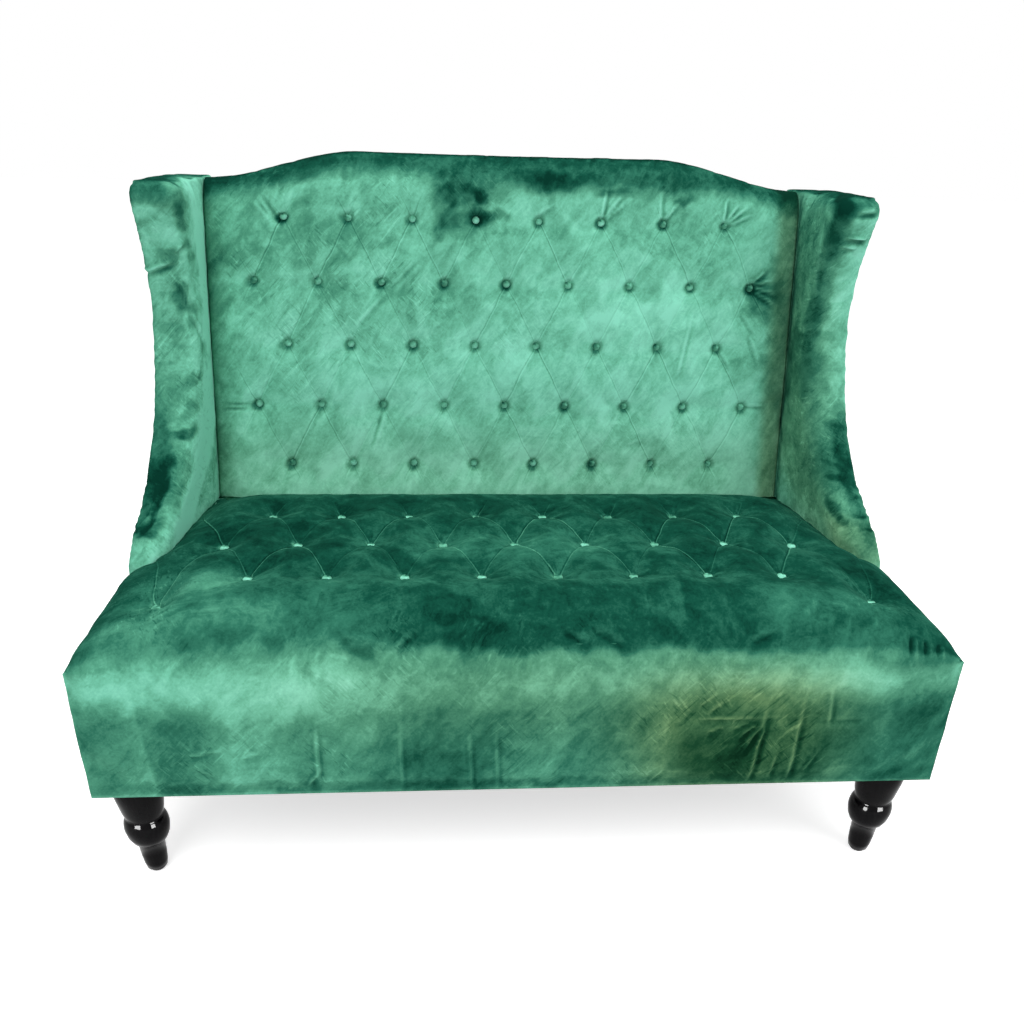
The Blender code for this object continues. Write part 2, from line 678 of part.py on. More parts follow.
def back_grid():
    """Rows of points over the front and top of the back, lowest first."""
    rear_row = BACK_LOW_ROW_RISE + (len(BACK_BUTTONS_PER_ROW) - 1) * BACK_ROW_STEP
    steps = (len(BACK_BUTTONS_PER_ROW) - 1) * GRID_STEPS
    bottom = rise_at(BACK_COVER_WALL, SOFT_BOTTOM_Z)
    rises = [BACK_LOW_ROW_RISE + step * BACK_GRID_RISE for step in range(steps + 1)]
    least = BACK_GRID_X * LEAST_LINE_SHARE
    core = int((BACK_COVER_HALF - least) / BACK_GRID_X)
    half = [step * BACK_GRID_X for step in range(core + 1)] + [BACK_COVER_HALF]
    columns = [-across for across in reversed(half[1:])] + half
    rows = [[(across, back_front(across, bottom), bottom) for across in columns]]
    for rise in rises:
        row = []
        for across in columns:
            below_roll = camel_rise(across) - BACK_ROLL_HEIGHT
            share = (rise - BACK_LOW_ROW_RISE) / (rear_row - BACK_LOW_ROW_RISE)
            squeeze = min(below_roll - BACK_GRID_RISE * LEAST_LINE_SHARE - rear_row, 0)
            place = rise + max(share, 0) * squeeze
            row.append((across, back_front(across, rise), place))
        rows.append(row)
    for share in (0, *BACK_ROLL_SHARES):
        rows.append([roll_point(across, share, rear_row) for across in columns])
    for share in BACK_REAR_SHARES:
        rows.append([roll_point(across, 1 + share, rear_row) for across in columns])
    return rows


def roll_point(across, share, top_row):
    """A point of the roll over the top of the back."""
    rearwards, drop = back_roll(share, 0)
    if share < 1:
        start = camel_rise(across) - BACK_ROLL_HEIGHT
        sink = back_front(across, max(start, top_row)) + BACK_CREST
        rearwards += sink * (1 - share)
    return (across, rearwards, camel_rise(across) - drop)


def camel_stations(half, margin=0):
    """Across values at which a piece follows the camel-back line."""
    bend = [
        CAMEL_FLAT_HALF + share * (CAMEL_END_HALF - CAMEL_FLAT_HALF)
        for share in CAMEL_STATION_SHARES
    ]
    right = [across for across in bend if across < half - CAMEL_LEAST_SPAN] + [half + margin]
    return [-across for across in reversed(right)] + right


def add_camel_body(bm, half, section, margin=0):
    """Skin a section of (rearwards, rise) along the camel-back line."""
    rings = []
    for across in camel_stations(half, margin):
        ring = [bm.verts.new((across, rearwards, rise)) for rearwards, rise in section(across)]
        rings.append(ring)
    bm.faces.new(rings[0])
    bm.faces.new(rings[-1])
    for left, right in zip(rings, rings[1:]):
        for step in range(len(left)):
            after = (step + 1) % len(left)
            bm.faces.new((left[step], left[after], right[after], right[step]))


def back_foam_section(across, wall, bottom, gap):
    """Section of the foam, or of the space that the cover keeps for it."""
    top = camel_rise(across)
    front = -BACK_CREST + wall + BACK_DIMPLE_DEPTH
    points = [(front, bottom), (front, top - BACK_ROLL_HEIGHT)]
    for share in BACK_ROLL_SHARES:
        rearwards, drop = back_roll(share, wall)
        points.append((max(rearwards, front), top - drop))
    if gap:
        rear = BACK_FRAME_REAR
        _, drop = back_roll(2, wall)
        shelf = top - TOP_RAIL_COVER + FIT_GAP
        points += [(rear, top - drop), (rear, shelf)]
        return points + [(BACK_FOAM_REAR, shelf), (BACK_FOAM_REAR, bottom)]
    rear = OUTSIDE_BACK_REAR + CUT_OVERRUN
    _, drop = back_roll(2, wall)
    return points + [(rear, top - drop), (rear, bottom)]


def make_back_soft(tilt, velvet, foam):
    """Back foam and tufted back cover with its rolled top."""
    bottom = rise_at(BACK_FRAME_SETBACK, SOFT_BOTTOM_Z) + FIT_GAP

    def foam_section(across):
        return back_foam_section(across, BACK_COVER_WALL + FIT_GAP, bottom, True)

    def space_section(across):
        return back_foam_section(across, BACK_COVER_WALL, bottom - CUT_OVERRUN, False)

    bm = bmesh.new()
    add_camel_body(bm, BACK_COVER_HALF, foam_section)
    make_piece("back_foam", bm, tilt, foam)

    bm = bmesh.new()
    add_sheet(bm, back_grid())
    split_cells(bm, lambda point: back_tuft_depth(point.x, point.z))

    lowest = rise_at(BACK_COVER_WALL, SOFT_BOTTOM_Z)

    def to_rear(point):
        """The ends of the roll are drawn in behind it, so that they don't fold."""
        height = camel_rise(point.x) - lowest
        rise = point.z
        if point.y < BACK_COVER_REAR - BACK_ROLL_REAR_FLAT - FIT_GAP:
            rise = lowest + (point.z - lowest) * (height - BACK_ROLL_HEIGHT / 2) / height
        return Vector((point.x, BACK_COVER_REAR, rise))

    close_below(bm, to_rear)
    cover = make_piece("back_cover", bm, tilt, velvet, smooth=True)
    bm = bmesh.new()
    add_camel_body(bm, BACK_COVER_HALF, space_section, CUT_OVERRUN)
    cut(cover, make_cutter("back_foam_space", bm, tilt))


def wing_outline(rearwards, bottom_z):
    """Outline of a wing seen from its side, as (depth, height).

    The front and the top come first; the last two edges are the rear
    one and the bottom one.
    """
    foot = SEAT_EAR_DEPTH + FIT_GAP
    waist = lean_depth(0, WING_WAIST_Z) - WING_WAIST_REACH
    top_front = lean_depth(0, WING_TOP_Z) - WING_TOP_REACH
    points = [(foot, bottom_z)]
    for along_share, up_share in WING_LOWER_SHARES:
        depth = foot + along_share * (waist - foot)
        points.append((depth, WING_FOOT_Z + up_share * (WING_WAIST_Z - WING_FOOT_Z)))
    corner_z = WING_TOP_Z - WING_TOP_CORNER
    for up_share, along_share in WING_UPPER_SHARES:
        depth = waist + along_share * (top_front - waist)
        points.append((depth, WING_WAIST_Z + up_share * (corner_z - WING_WAIST_Z)))
    points.append((top_front, corner_z))
    points.append((top_front + RIM_SHARE * WING_TOP_CORNER, WING_TOP_Z - RIM_SHARE * WING_TOP_CORNER))
    points.append((top_front + WING_TOP_CORNER, WING_TOP_Z))
    points.append((lean_depth(rearwards, WING_TOP_Z), WING_TOP_Z))
    points.append((lean_depth(rearwards, bottom_z), bottom_z))
    return points


def meeting_point(start, start_along, other, other_along):
    """Where two lines in the plane meet, or None where they are parallel."""
    spread = start_along.x * other_along.y - start_along.y * other_along.x
    if abs(spread) < math.sin(NEARLY_PARALLEL):
        return None
    apart = other - start
    return start + start_along * ((apart.x * other_along.y - apart.y * other_along.x) / spread)


def inset_outline(points, distance, drop_short=False):
    """Move the front and the top of a wing outline inwards.

    With drop_short, an edge that the move would turn round is left out.
    """
    count = len(points)
    lines = []
    for step in range(count):
        start = Vector(points[step])
        along = (Vector(points[(step + 1) % count]) - start).normalized()
        shift = distance if step < count - 2 else 0
        lines.append((start + Vector((-along.y, along.x)) * -shift, along))
    while True:
        moved = []
        for step, (start, along) in enumerate(lines):
            before, before_along = lines[step - 1]
            moved.append(meeting_point(before, before_along, start, along) or start)
        turned = [
            step
            for step, (start, along) in enumerate(lines)
            if (moved[(step + 1) % len(moved)] - moved[step]).dot(along) <= 0
        ]
        if not turned or not drop_short:
            return moved
        lines = [line for step, line in enumerate(lines) if step != turned[0]]


def add_wing_body(bm, side, outline, inner_wall, outer_half, rounds):
    """A wing-shaped body, rounded along its front and top.

    Each loop of points is drawn with its distance from the outer face, or
    with 1 less its distance from the inner face, and is then put across
    the sofa, where the inner face tapers.
    """
    inner_round, outer_round = rounds
    loops = [(outer_round, 0)]
    if outer_round:
        loops = [(0, outer_round), (outer_round * RIM_SHARE, outer_round * RIM_SHARE)] + loops
    loops.append((1 - inner_round, 0))
    if inner_round:
        loops += [(1 - inner_round * RIM_SHARE, inner_round * RIM_SHARE), (1, inner_round)]
    rings = []
    for mark, inset in loops:
        ring = [bm.verts.new((mark, depth, height)) for depth, height in inset_outline(outline, inset)]
        rings.append(ring)
    bm.faces.new(rings[0])
    bm.faces.new(rings[-1])
    for outer, inner in zip(rings, rings[1:]):
        for step in range(len(outer)):
            after = (step + 1) % len(outer)
            bm.faces.new((outer[step], outer[after], inner[after], inner[step]))
    bend = lean_depth(-BACK_CREST, SEAT_REAR_EDGE_Z)
    everything = bm.verts[:] + bm.edges[:] + bm.faces[:]
    bmesh.ops.bisect_plane(bm, geom=everything, plane_co=(0, bend, 0), plane_no=(0, 1, 0))
    for vertex in bm.verts:
        if vertex.co.x < 1 / 2:
            half = outer_half - vertex.co.x
        else:
            half = wing_inner_half(vertex.co.y) + inner_wall + 1 - vertex.co.x
        vertex.co.x = side * half


def outline_prism(bm, side, outline, near_half, far_half):
    """A flat board of a wing outline between two distances from the middle."""
    points = [(side * near_half, depth, height) for depth, height in outline]
    add_prism(bm, points, (side * (far_half - near_half), 0, 0))


def make_wing(name, side, datum, tilt, materials):
    """One wing: board, foam, cover, outside panel and its fixings."""
    velvet = materials["velvet"]
    rear = BACK_FRAME_REAR
    panel_bottom = RAIL_BOTTOM_Z
    panel_outline = inset_outline(wing_outline(rear, panel_bottom), WING_PANEL_SETBACK, True)
    bm = bmesh.new()
    outline_prism(bm, side, panel_outline, WING_PANEL_INNER_HALF, WING_PANEL_OUTER_HALF)
    panel = make_piece("wing_panel_" + name, bm, datum, materials["plywood"])

    post_top = rise_at(BACK_FRAME_SETBACK, WING_TOP_Z - WING_PANEL_SETBACK)
    bm = bmesh.new()
    low_x, high_x = sorted((side * (WING_INNER_REAR_HALF - CUT_OVERRUN), side * WING_PANEL_INNER_HALF))
    low_rise = rise_at(0, SEAT_UNDERSIDE_Z - CUT_OVERRUN)
    low = (low_x, BACK_FRAME_SETBACK - WEBBING_THICKNESS - 2 * FIT_GAP, low_rise)
    high = (high_x, BACK_FRAME_REAR + CUT_OVERRUN, post_top + FIT_GAP)
    add_block(bm, low, high)
    post_space = make_cutter("wing_post_space_" + name, bm, tilt)

    foam_wall = WING_COVER_WALL + FIT_GAP
    foam_outline = inset_outline(wing_outline(rear, SOFT_BOTTOM_Z + FIT_GAP), foam_wall)
    bm = bmesh.new()
    rounds = (WING_ROUND - WING_COVER_WALL, 0)
    add_wing_body(bm, side, foam_outline, foam_wall, WING_PANEL_OUTER_HALF, rounds)
    foam = make_piece("wing_foam_" + name, bm, datum, materials["foam"])
    space_outline = wing_outline(rear + CUT_OVERRUN, panel_bottom - CUT_OVERRUN)
    bm = bmesh.new()
    board_space = inset_outline(space_outline, WING_PANEL_SETBACK - FIT_GAP, True)
    board_near = WING_PANEL_INNER_HALF - FIT_GAP
    outline_prism(bm, side, board_space, board_near, WING_OUTER_HALF + CUT_OVERRUN)
    cut(foam, make_cutter("wing_panel_space_" + name, bm, datum))
    cut(foam, post_space)

    bm = bmesh.new()
    cover_outline = wing_outline(OUTSIDE_BACK_FRONT - FIT_GAP, SEAT_UNDERSIDE_Z)
    add_wing_body(bm, side, cover_outline, 0, WING_OUTER_HALF, (WING_ROUND, WING_RIM_ROUND))
    cover = make_piece("wing_cover_" + name, bm, datum, velvet, smooth=True)
    bm = bmesh.new()
    cavity = inset_outline(space_outline, WING_COVER_WALL)
    rounds = (WING_ROUND - WING_COVER_WALL, 0)
    add_wing_body(bm, side, cavity, WING_COVER_WALL, WING_OUTER_HALF + CUT_OVERRUN, rounds)
    cut(cover, make_cutter("wing_inside_" + name, bm, datum))
    bm = bmesh.new()
    low_x, high_x = sorted((side * (WING_INNER_REAR_HALF - CUT_OVERRUN), side * WING_PANEL_INNER_HALF))
    low = (low_x, SEAT_EAR_DEPTH - CUT_OVERRUN, SEAT_UNDERSIDE_Z - CUT_OVERRUN)
    high = (high_x, OVERALL_DEPTH, SOFT_BOTTOM_Z)
    add_block(bm, low, high)
    cut(cover, make_cutter("wing_rail_space_" + name, bm, datum))
    cut(cover, post_space)

    bm = bmesh.new()
    outside = wing_outline(OUTSIDE_BACK_FRONT - FIT_GAP, SEAT_UNDERSIDE_Z)
    outside = inset_outline(outside, WING_COVER_WALL + FIT_GAP)
    near = WING_PANEL_OUTER_HALF + FIT_GAP
    outline_prism(bm, side, outside, near, near + WING_OUTER_PANEL_THICKNESS)
    make_piece("wing_outer_panel_" + name, bm, datum, velvet)
    return panel


def make_wing_bolts(name, side, datum, panel, rail, post, steel):
    """Bolts and nuts that hold the wing board to the side rail and the back post."""
    recline = Matrix.Rotation(-BACK_RECLINE, 4, "X")
    middle = BACK_FRAME_SETBACK + BACK_FRAME_THICKNESS / 2
    on_post = recline @ Vector((0, middle, WING_BOLT_POST_RISE))
    rail_inner = FRAME_REAR_HALF - RAIL_THICKNESS
    rail_z = RAIL_BOTTOM_Z + WING_BOLT_RAIL_RISE
    outwards = Matrix.Rotation(side * math.pi / 2, 4, "Y")
    for holder, piece, inner_half, depth, height in (
        ("rail", rail, rail_inner, WING_BOLT_DEPTH, rail_z),
        ("post", post, POST_INNER_HALF, BACK_BUTTON_DEPTH + on_post.y, BACK_DATUM_Z + on_post.z),
    ):
        place = Matrix.Translation((0, depth, height)) @ outwards
        face = WING_PANEL_OUTER_HALF
        head = face - WING_BOLT_HEAD_HEIGHT
        tail = inner_half - WING_BOLT_TAIL
        profile = (
            (WING_BOLT_RADIUS, tail),
            (WING_BOLT_RADIUS, head),
            (WING_BOLT_HEAD_RADIUS, head),
            (WING_BOLT_HEAD_RADIUS, face),
        )
        bm = bmesh.new()
        add_turned(bm, profile, BOLT_SIDES, place)
        make_piece("wing_bolt_" + holder + "_" + name, bm, datum, steel, smooth=True)
        wide = WING_BOLT_HEAD_RADIUS + BORE_CLEARANCE
        slim = WING_BOLT_RADIUS + BORE_CLEARANCE
        profile = (
            (slim, tail - CUT_OVERRUN),
            (slim, head - FIT_GAP),
            (wide, head - FIT_GAP),
            (wide, face + CUT_OVERRUN),
        )
        bm = bmesh.new()
        add_turned(bm, profile, BOLT_SIDES, place)
        bore = make_cutter("wing_bore_" + holder + "_" + name, bm, datum)
        cut(panel, bore)
        cut(piece, bore)
        nut_face = inner_half - FIT_GAP
        nut_end = nut_face - WING_NUT_HEIGHT
        to_corner = 1 / math.cos(math.pi / NUT_SIDES)
        thread = slim * to_corner
        outside = WING_NUT_HALF * to_corner
        profile = ((thread, nut_end), (outside, nut_end), (outside, nut_face), (thread, nut_face))
        bm = bmesh.new()
        add_turned(bm, profile, NUT_SIDES, place, tube=True)
        make_piece("wing_nut_" + holder + "_" + name, bm, datum, steel)


def lean_matrix(side):
    """Upright parts of a front leg, leaning out towards the top."""
    slope = side * math.tan(FRONT_LEG_LEAN)
    shear = Matrix.Identity(4)
    shear[0][2] = slope
    foot = side * FRONT_LEG_HALF_SPACING - slope * FRONT_LEG_LEAN_Z
    return Matrix.Translation((foot, FRONT_LEG_DEPTH, 0)) @ shear


def front_leg_profile():
    """Turned outline of a front leg, from the foot up, as (radius, height)."""
    ball_low_z = FOOT_TOP_Z + FOOT_LEDGE_HEIGHT
    profile = [
        (FOOT_TIP_RADIUS, FOOT_BOTTOM_Z),
        ((FOOT_TIP_RADIUS + FOOT_RADIUS) / 2 + FOOT_BELLY, (FOOT_BOTTOM_Z * 2 + FOOT_ROUND_Z) / 3),
        (FOOT_RADIUS, FOOT_ROUND_Z),
        (FOOT_TOP_RADIUS, FOOT_TOP_Z),
        (BALL_LOW_RADIUS, ball_low_z),
    ]
    low = math.acos(BALL_LOW_RADIUS / BALL_RADIUS)
    high = math.acos(NECK_RADIUS / BALL_RADIUS)
    below = BALL_Z - ball_low_z
    above = NECK_Z - BALL_Z
    for step in range(1, BALL_STEPS):
        angle = low * (1 - step / BALL_STEPS)
        profile.append((BALL_RADIUS * math.cos(angle), BALL_Z - below * math.sin(angle) / math.sin(low)))
    profile.append((BALL_RADIUS, BALL_Z))
    for step in range(1, BALL_STEPS):
        angle = high * step / BALL_STEPS
        profile.append((BALL_RADIUS * math.cos(angle), BALL_Z + above * math.sin(angle) / math.sin(high)))
    profile += [
        (NECK_RADIUS, NECK_Z),
        (CUP_LOW_RADIUS, NECK_Z + (CUP_FLARE_Z - NECK_Z) / 4),
        ((CUP_LOW_RADIUS + 2 * CUP_RADIUS) / 3, (NECK_Z + CUP_FLARE_Z) / 2 + CUP_SWELL),
        (CUP_RADIUS, CUP_FLARE_Z),
        (CUP_RADIUS, LEG_TOP_Z),
    ]
    return profile


def make_legs(datum, materials, blocks):
    """Legs, the bolts and inserts that hold them, and their glides."""
    lacquer = materials["lacquer"]
    for side, name in ((-1, "left"), (1, "right")):
        leaning = lean_matrix(side)
        bm = bmesh.new()
        add_turned(bm, front_leg_profile(), LEG_SIDES, leaning)
        leg = make_piece("front_leg_" + name, bm, datum, lacquer, smooth=True)
        foot = leaning @ Vector((0, 0, 0))
        fix_leg("front_" + name, leg, blocks["front_" + name], leaning, foot, datum, materials)
        upright = Matrix.Translation((side * REAR_LEG_HALF_SPACING, REAR_LEG_TOP_DEPTH, 0))
        leg = make_rear_leg("rear_leg_" + name, side, datum, lacquer)
        foot = Vector((side * REAR_LEG_HALF_SPACING, REAR_LEG_TOP_DEPTH + REAR_LEG_RAKE, 0))
        fix_leg("rear_" + name, leg, blocks["rear_" + name], upright, foot, datum, materials)


def fix_leg(name, leg, leg_block, place, foot, datum, materials):
    """The bolt, the threaded insert and the glide of one leg, and their bores."""
    steel = materials["steel"]
    slim = LEG_BOLT_RADIUS + BORE_CLEARANCE
    wide = INSERT_RADIUS + BORE_CLEARANCE
    bolt_low = LEG_TOP_Z - LEG_BOLT_IN_LEG
    bolt_high = RAIL_BOTTOM_Z + LEG_BOLT_IN_BLOCK
    insert_low = RAIL_BOTTOM_Z + FIT_GAP
    insert_high = insert_low + INSERT_LENGTH
    bm = bmesh.new()
    add_turned(bm, ((slim, bolt_low - FIT_GAP), (slim, RAIL_BOTTOM_Z - FIT_GAP)), BOLT_SIDES, place)
    cut(leg, make_cutter("leg_bore_" + name, bm, datum))
    profile = (
        (wide, SEAT_UNDERSIDE_Z - CUT_OVERRUN),
        (wide, insert_high + FIT_GAP),
        (slim, insert_high + FIT_GAP),
        (slim, bolt_high + FIT_GAP),
    )
    bm = bmesh.new()
    add_turned(bm, profile, BOLT_SIDES, place)
    cut(leg_block, make_cutter("block_bore_" + name, bm, datum))
    bm = bmesh.new()
    add_turned(bm, ((LEG_BOLT_RADIUS, bolt_low), (LEG_BOLT_RADIUS, bolt_high)), BOLT_SIDES, place)
    make_piece("leg_bolt_" + name, bm, datum, steel, smooth=True)
    profile = (
        (slim, insert_low),
        (INSERT_RADIUS, insert_low),
        (INSERT_RADIUS, insert_high),
        (slim, insert_high),
    )
    bm = bmesh.new()
    add_turned(bm, profile, BOLT_SIDES, place, tube=True)
    make_piece("leg_insert_" + name, bm, datum, steel, smooth=True)
    bm = bmesh.new()
    profile = ((GLIDE_RADIUS, 0), (GLIDE_RADIUS, GLIDE_THICKNESS))
    add_turned(bm, profile, LEG_SIDES, Matrix.Translation(foot))
    make_piece("leg_glide_" + name, bm, datum, materials["felt"], smooth=True)


def make_rear_leg(name, side, datum, lacquer):
    """A square leg that tapers and rakes rearwards."""
    bm = bmesh.new()
    centre = side * REAR_LEG_HALF_SPACING
    rings = []
    for half, depth, height in (
        (REAR_LEG_FOOT_HALF, REAR_LEG_TOP_DEPTH + REAR_LEG_RAKE, FOOT_BOTTOM_Z),
        (REAR_LEG_TOP_HALF, REAR_LEG_TOP_DEPTH, LEG_TOP_Z),
    ):
        corners = ((-half, -half), (half, -half), (half, half), (-half, half))
        rings.append([bm.verts.new((centre + right, depth + back, height)) for right, back in corners])
    bm.faces.new(rings[0])
    bm.faces.new(rings[1])
    for step in range(4):
        after = (step + 1) % 4
        bm.faces.new((rings[0][step], rings[0][after], rings[1][after], rings[1][step]))
    uprights = []
    for edge in bm.edges:
        if abs(edge.verts[0].co.z - edge.verts[1].co.z) > REAR_LEG_TOP_HALF:
            uprights.append(edge)
    width = REAR_LEG_EDGE_BEVEL
    bmesh.ops.bevel(
        bm, geom=uprights, offset=width, affect="EDGES", segments=2, profile=0.5, material=-1
    )
    return make_piece(name, bm, datum, lacquer, smooth=True)


def make_seat_frame(datum, wood):
    """Rails, stretchers and blocks. Gives back those that bolts go through."""
    bottom = RAIL_BOTTOM_Z
    top = RAIL_TOP_Z
    front_end = FRONT_RAIL_SETBACK + RAIL_THICKNESS
    block_front = front_end + FIT_GAP
    block_rear = block_front + LEG_BLOCK_SIZE
    rear_block_rear = REAR_RAIL_DEPTH - FIT_GAP
    rear_block_front = rear_block_rear - REAR_BLOCK_DEPTH
    low = (-FRAME_FRONT_HALF, FRONT_RAIL_SETBACK, bottom)
    block("seat_front_rail", low, (FRAME_FRONT_HALF, front_end, top), datum, wood)
    low = (-FRAME_REAR_HALF, REAR_RAIL_DEPTH, bottom)
    rear_end = REAR_RAIL_DEPTH + RAIL_THICKNESS
    block("seat_rear_rail", low, (FRAME_REAR_HALF, rear_end, top), datum, wood)
    blocks = {}
    rails = {}
    for side, name in ((-1, "left"), (1, "right")):
        near = (FRAME_FRONT_HALF - LEG_BLOCK_SIZE, block_front, bottom)
        far = (FRAME_FRONT_HALF, block_rear, top)
        blocks["front_" + name] = side_block("leg_block_front_" + name, side, near, far, datum, wood)
        near = (FRAME_REAR_HALF - REAR_BLOCK_WIDTH, rear_block_front, bottom)
        far = (FRAME_REAR_HALF, rear_block_rear, top)
        blocks["rear_" + name] = side_block("leg_block_rear_" + name, side, near, far, datum, wood)
        near = (FRAME_REAR_HALF - RAIL_THICKNESS, block_rear + FIT_GAP, bottom)
        far = (FRAME_REAR_HALF, rear_block_front - FIT_GAP, top)
        rails[name] = side_block("seat_side_rail_" + name, side, near, far, datum, wood)
        near = (FRAME_REAR_HALF + FIT_GAP, block_rear + FIT_GAP, bottom)
        far = (FRAME_FRONT_HALF, SEAT_EAR_DEPTH, top)
        side_block("seat_ear_block_" + name, side, near, far, datum, wood)
        middle = STRETCHER_HALF_SPACING
        near = (middle - RAIL_THICKNESS / 2, front_end + FIT_GAP, bottom)
        far = (middle + RAIL_THICKNESS / 2, REAR_RAIL_DEPTH - FIT_GAP, bottom + STRETCHER_HEIGHT)
        side_block("seat_stretcher_" + name, side, near, far, datum, wood)
    return blocks, rails


def make_back_frame(tilt, wood):
    """Posts, rails and stiles. Gives back the posts."""
    front = BACK_FRAME_SETBACK
    rear = BACK_FRAME_REAR
    posts = {}
    stand_z = RAIL_TOP_Z + FIT_GAP
    post_top = rise_at(front, WING_TOP_Z - WING_PANEL_SETBACK)
    for side, name in ((-1, "left"), (1, "right")):
        bm = bmesh.new()
        outline = [
            (side * POST_INNER_HALF, front, rise_at(front, stand_z)),
            (side * POST_INNER_HALF, rear, rise_at(rear, stand_z)),
            (side * POST_INNER_HALF, rear, post_top),
            (side * POST_INNER_HALF, front, post_top),
        ]
        add_prism(bm, outline, (side * POST_WIDTH, 0, 0))
        posts[name] = make_piece("back_post_" + name, bm, tilt, wood)

    rail_half = POST_INNER_HALF - FIT_GAP

    def top_rail_section(across):
        top = camel_rise(across) - TOP_RAIL_COVER
        low = top - TOP_RAIL_HEIGHT
        return [(front, low), (front, top), (rear, top), (rear, low)]

    bm = bmesh.new()
    add_camel_body(bm, rail_half, top_rail_section)
    make_piece("back_top_rail", bm, tilt, wood)
    low_rise = rise_at(front, BOTTOM_RAIL_Z)
    high_rise = low_rise + BOTTOM_RAIL_HEIGHT
    block("back_bottom_rail", (-rail_half, front, low_rise), (rail_half, rear, high_rise), tilt, wood)
    stile_top = BACK_TOP_RISE - TOP_RAIL_COVER - TOP_RAIL_HEIGHT - FIT_GAP
    for side, name in ((-1, "left"), (1, "right")):
        near = (STILE_HALF_SPACING - STILE_WIDTH / 2, front, high_rise + FIT_GAP)
        far = (STILE_HALF_SPACING + STILE_WIDTH / 2, rear, stile_top)
        side_block("back_stile_" + name, side, near, far, tilt, wood)
    return posts


def strap_middles(count, span):
    """Middles of straps spread evenly over a span."""
    return [(step / (count - 1) - 1 / 2) * span for step in range(count)]


def add_webbing(bm, along, across, place):
    """Straps that cross each other, stapled where they cross.

    along and across are each (middles of the straps, their two ends).
    """
    half = WEBBING_WIDTH / 2
    lines_one = {end for middle in along[0] for end in (middle - half, middle + half)}
    lines_two = {end for middle in across[0] for end in (middle - half, middle + half)}
    ones = sorted(lines_one | set(across[1]))
    twos = sorted(lines_two | set(along[1]))
    corners = {}

    def corner(one, two):
        if (one, two) not in corners:
            corners[one, two] = bm.verts.new(place(one, two))
        return corners[one, two]

    for one, next_one in zip(ones, ones[1:]):
        for two, next_two in zip(twos, twos[1:]):
            middle_one = (one + next_one) / 2
            middle_two = (two + next_two) / 2
            on_along = any(abs(middle_one - middle) < half for middle in along[0])
            on_along = on_along and along[1][0] < middle_two < along[1][1]
            on_across = any(abs(middle_two - middle) < half for middle in across[0])
            on_across = on_across and across[1][0] < middle_one < across[1][1]
            if on_along or on_across:
                around = ((one, two), (next_one, two), (next_one, next_two), (one, next_two))
                bm.faces.new([corner(*spot) for spot in around])
    thicken = place(0, 0, WEBBING_THICKNESS) - place(0, 0)
    extruded = bmesh.ops.extrude_face_region(bm, geom=bm.faces[:], use_keep_orig=True)
    moved = [item for item in extruded["geom"] if isinstance(item, bmesh.types.BMVert)]
    bmesh.ops.translate(bm, verts=moved, vec=thicken)


def make_webbing(datum, tilt, webbing):
    """Webbing under the seat and up the back."""
    low = RAIL_TOP_Z + FIT_GAP
    middles = strap_middles(SEAT_STRAP_COUNT, SEAT_STRAP_SPAN)
    ends = (FRONT_RAIL_SETBACK + FIT_GAP, REAR_RAIL_DEPTH + WEBBING_REAR_HOLD)
    middle = SEAT_STRAP_FRONT_MARGIN + SEAT_CROSS_STRAP_SPAN / 2
    offsets = strap_middles(SEAT_CROSS_STRAP_COUNT, SEAT_CROSS_STRAP_SPAN)
    depths = [middle + offset for offset in offsets]

    def under_seat(across, depth, lift=0):
        return Vector((across, depth, low + lift))

    bm = bmesh.new()
    sides = (-FRAME_REAR_HALF, FRAME_REAR_HALF)
    add_webbing(bm, (middles, ends), (depths, sides), under_seat)
    make_piece("seat_webbing", bm, datum, webbing)

    rear = BACK_FRAME_SETBACK - FIT_GAP
    low_rise = rise_at(BACK_FRAME_SETBACK, BOTTOM_RAIL_Z)
    outermost = BACK_STRAP_SPAN / 2 + WEBBING_WIDTH / 2
    top_rise = camel_rise(outermost) - TOP_RAIL_COVER - WEBBING_HOLD
    middles = strap_middles(BACK_STRAP_COUNT, BACK_STRAP_SPAN)
    ends = (low_rise + WEBBING_HOLD, top_rise)
    middle = (low_rise + top_rise) / 2
    offsets = strap_middles(BACK_CROSS_STRAP_COUNT, BACK_CROSS_STRAP_SPACING)
    rises = [middle + offset for offset in offsets]

    def up_back(across, rise, lift=0):
        return Vector((across, rear - lift, rise))

    bm = bmesh.new()
    sides = (-POST_INNER_HALF - WEBBING_HOLD, POST_INNER_HALF + WEBBING_HOLD)
    add_webbing(bm, (middles, ends), (rises, sides), up_back)
    make_piece("back_webbing", bm, tilt, webbing)


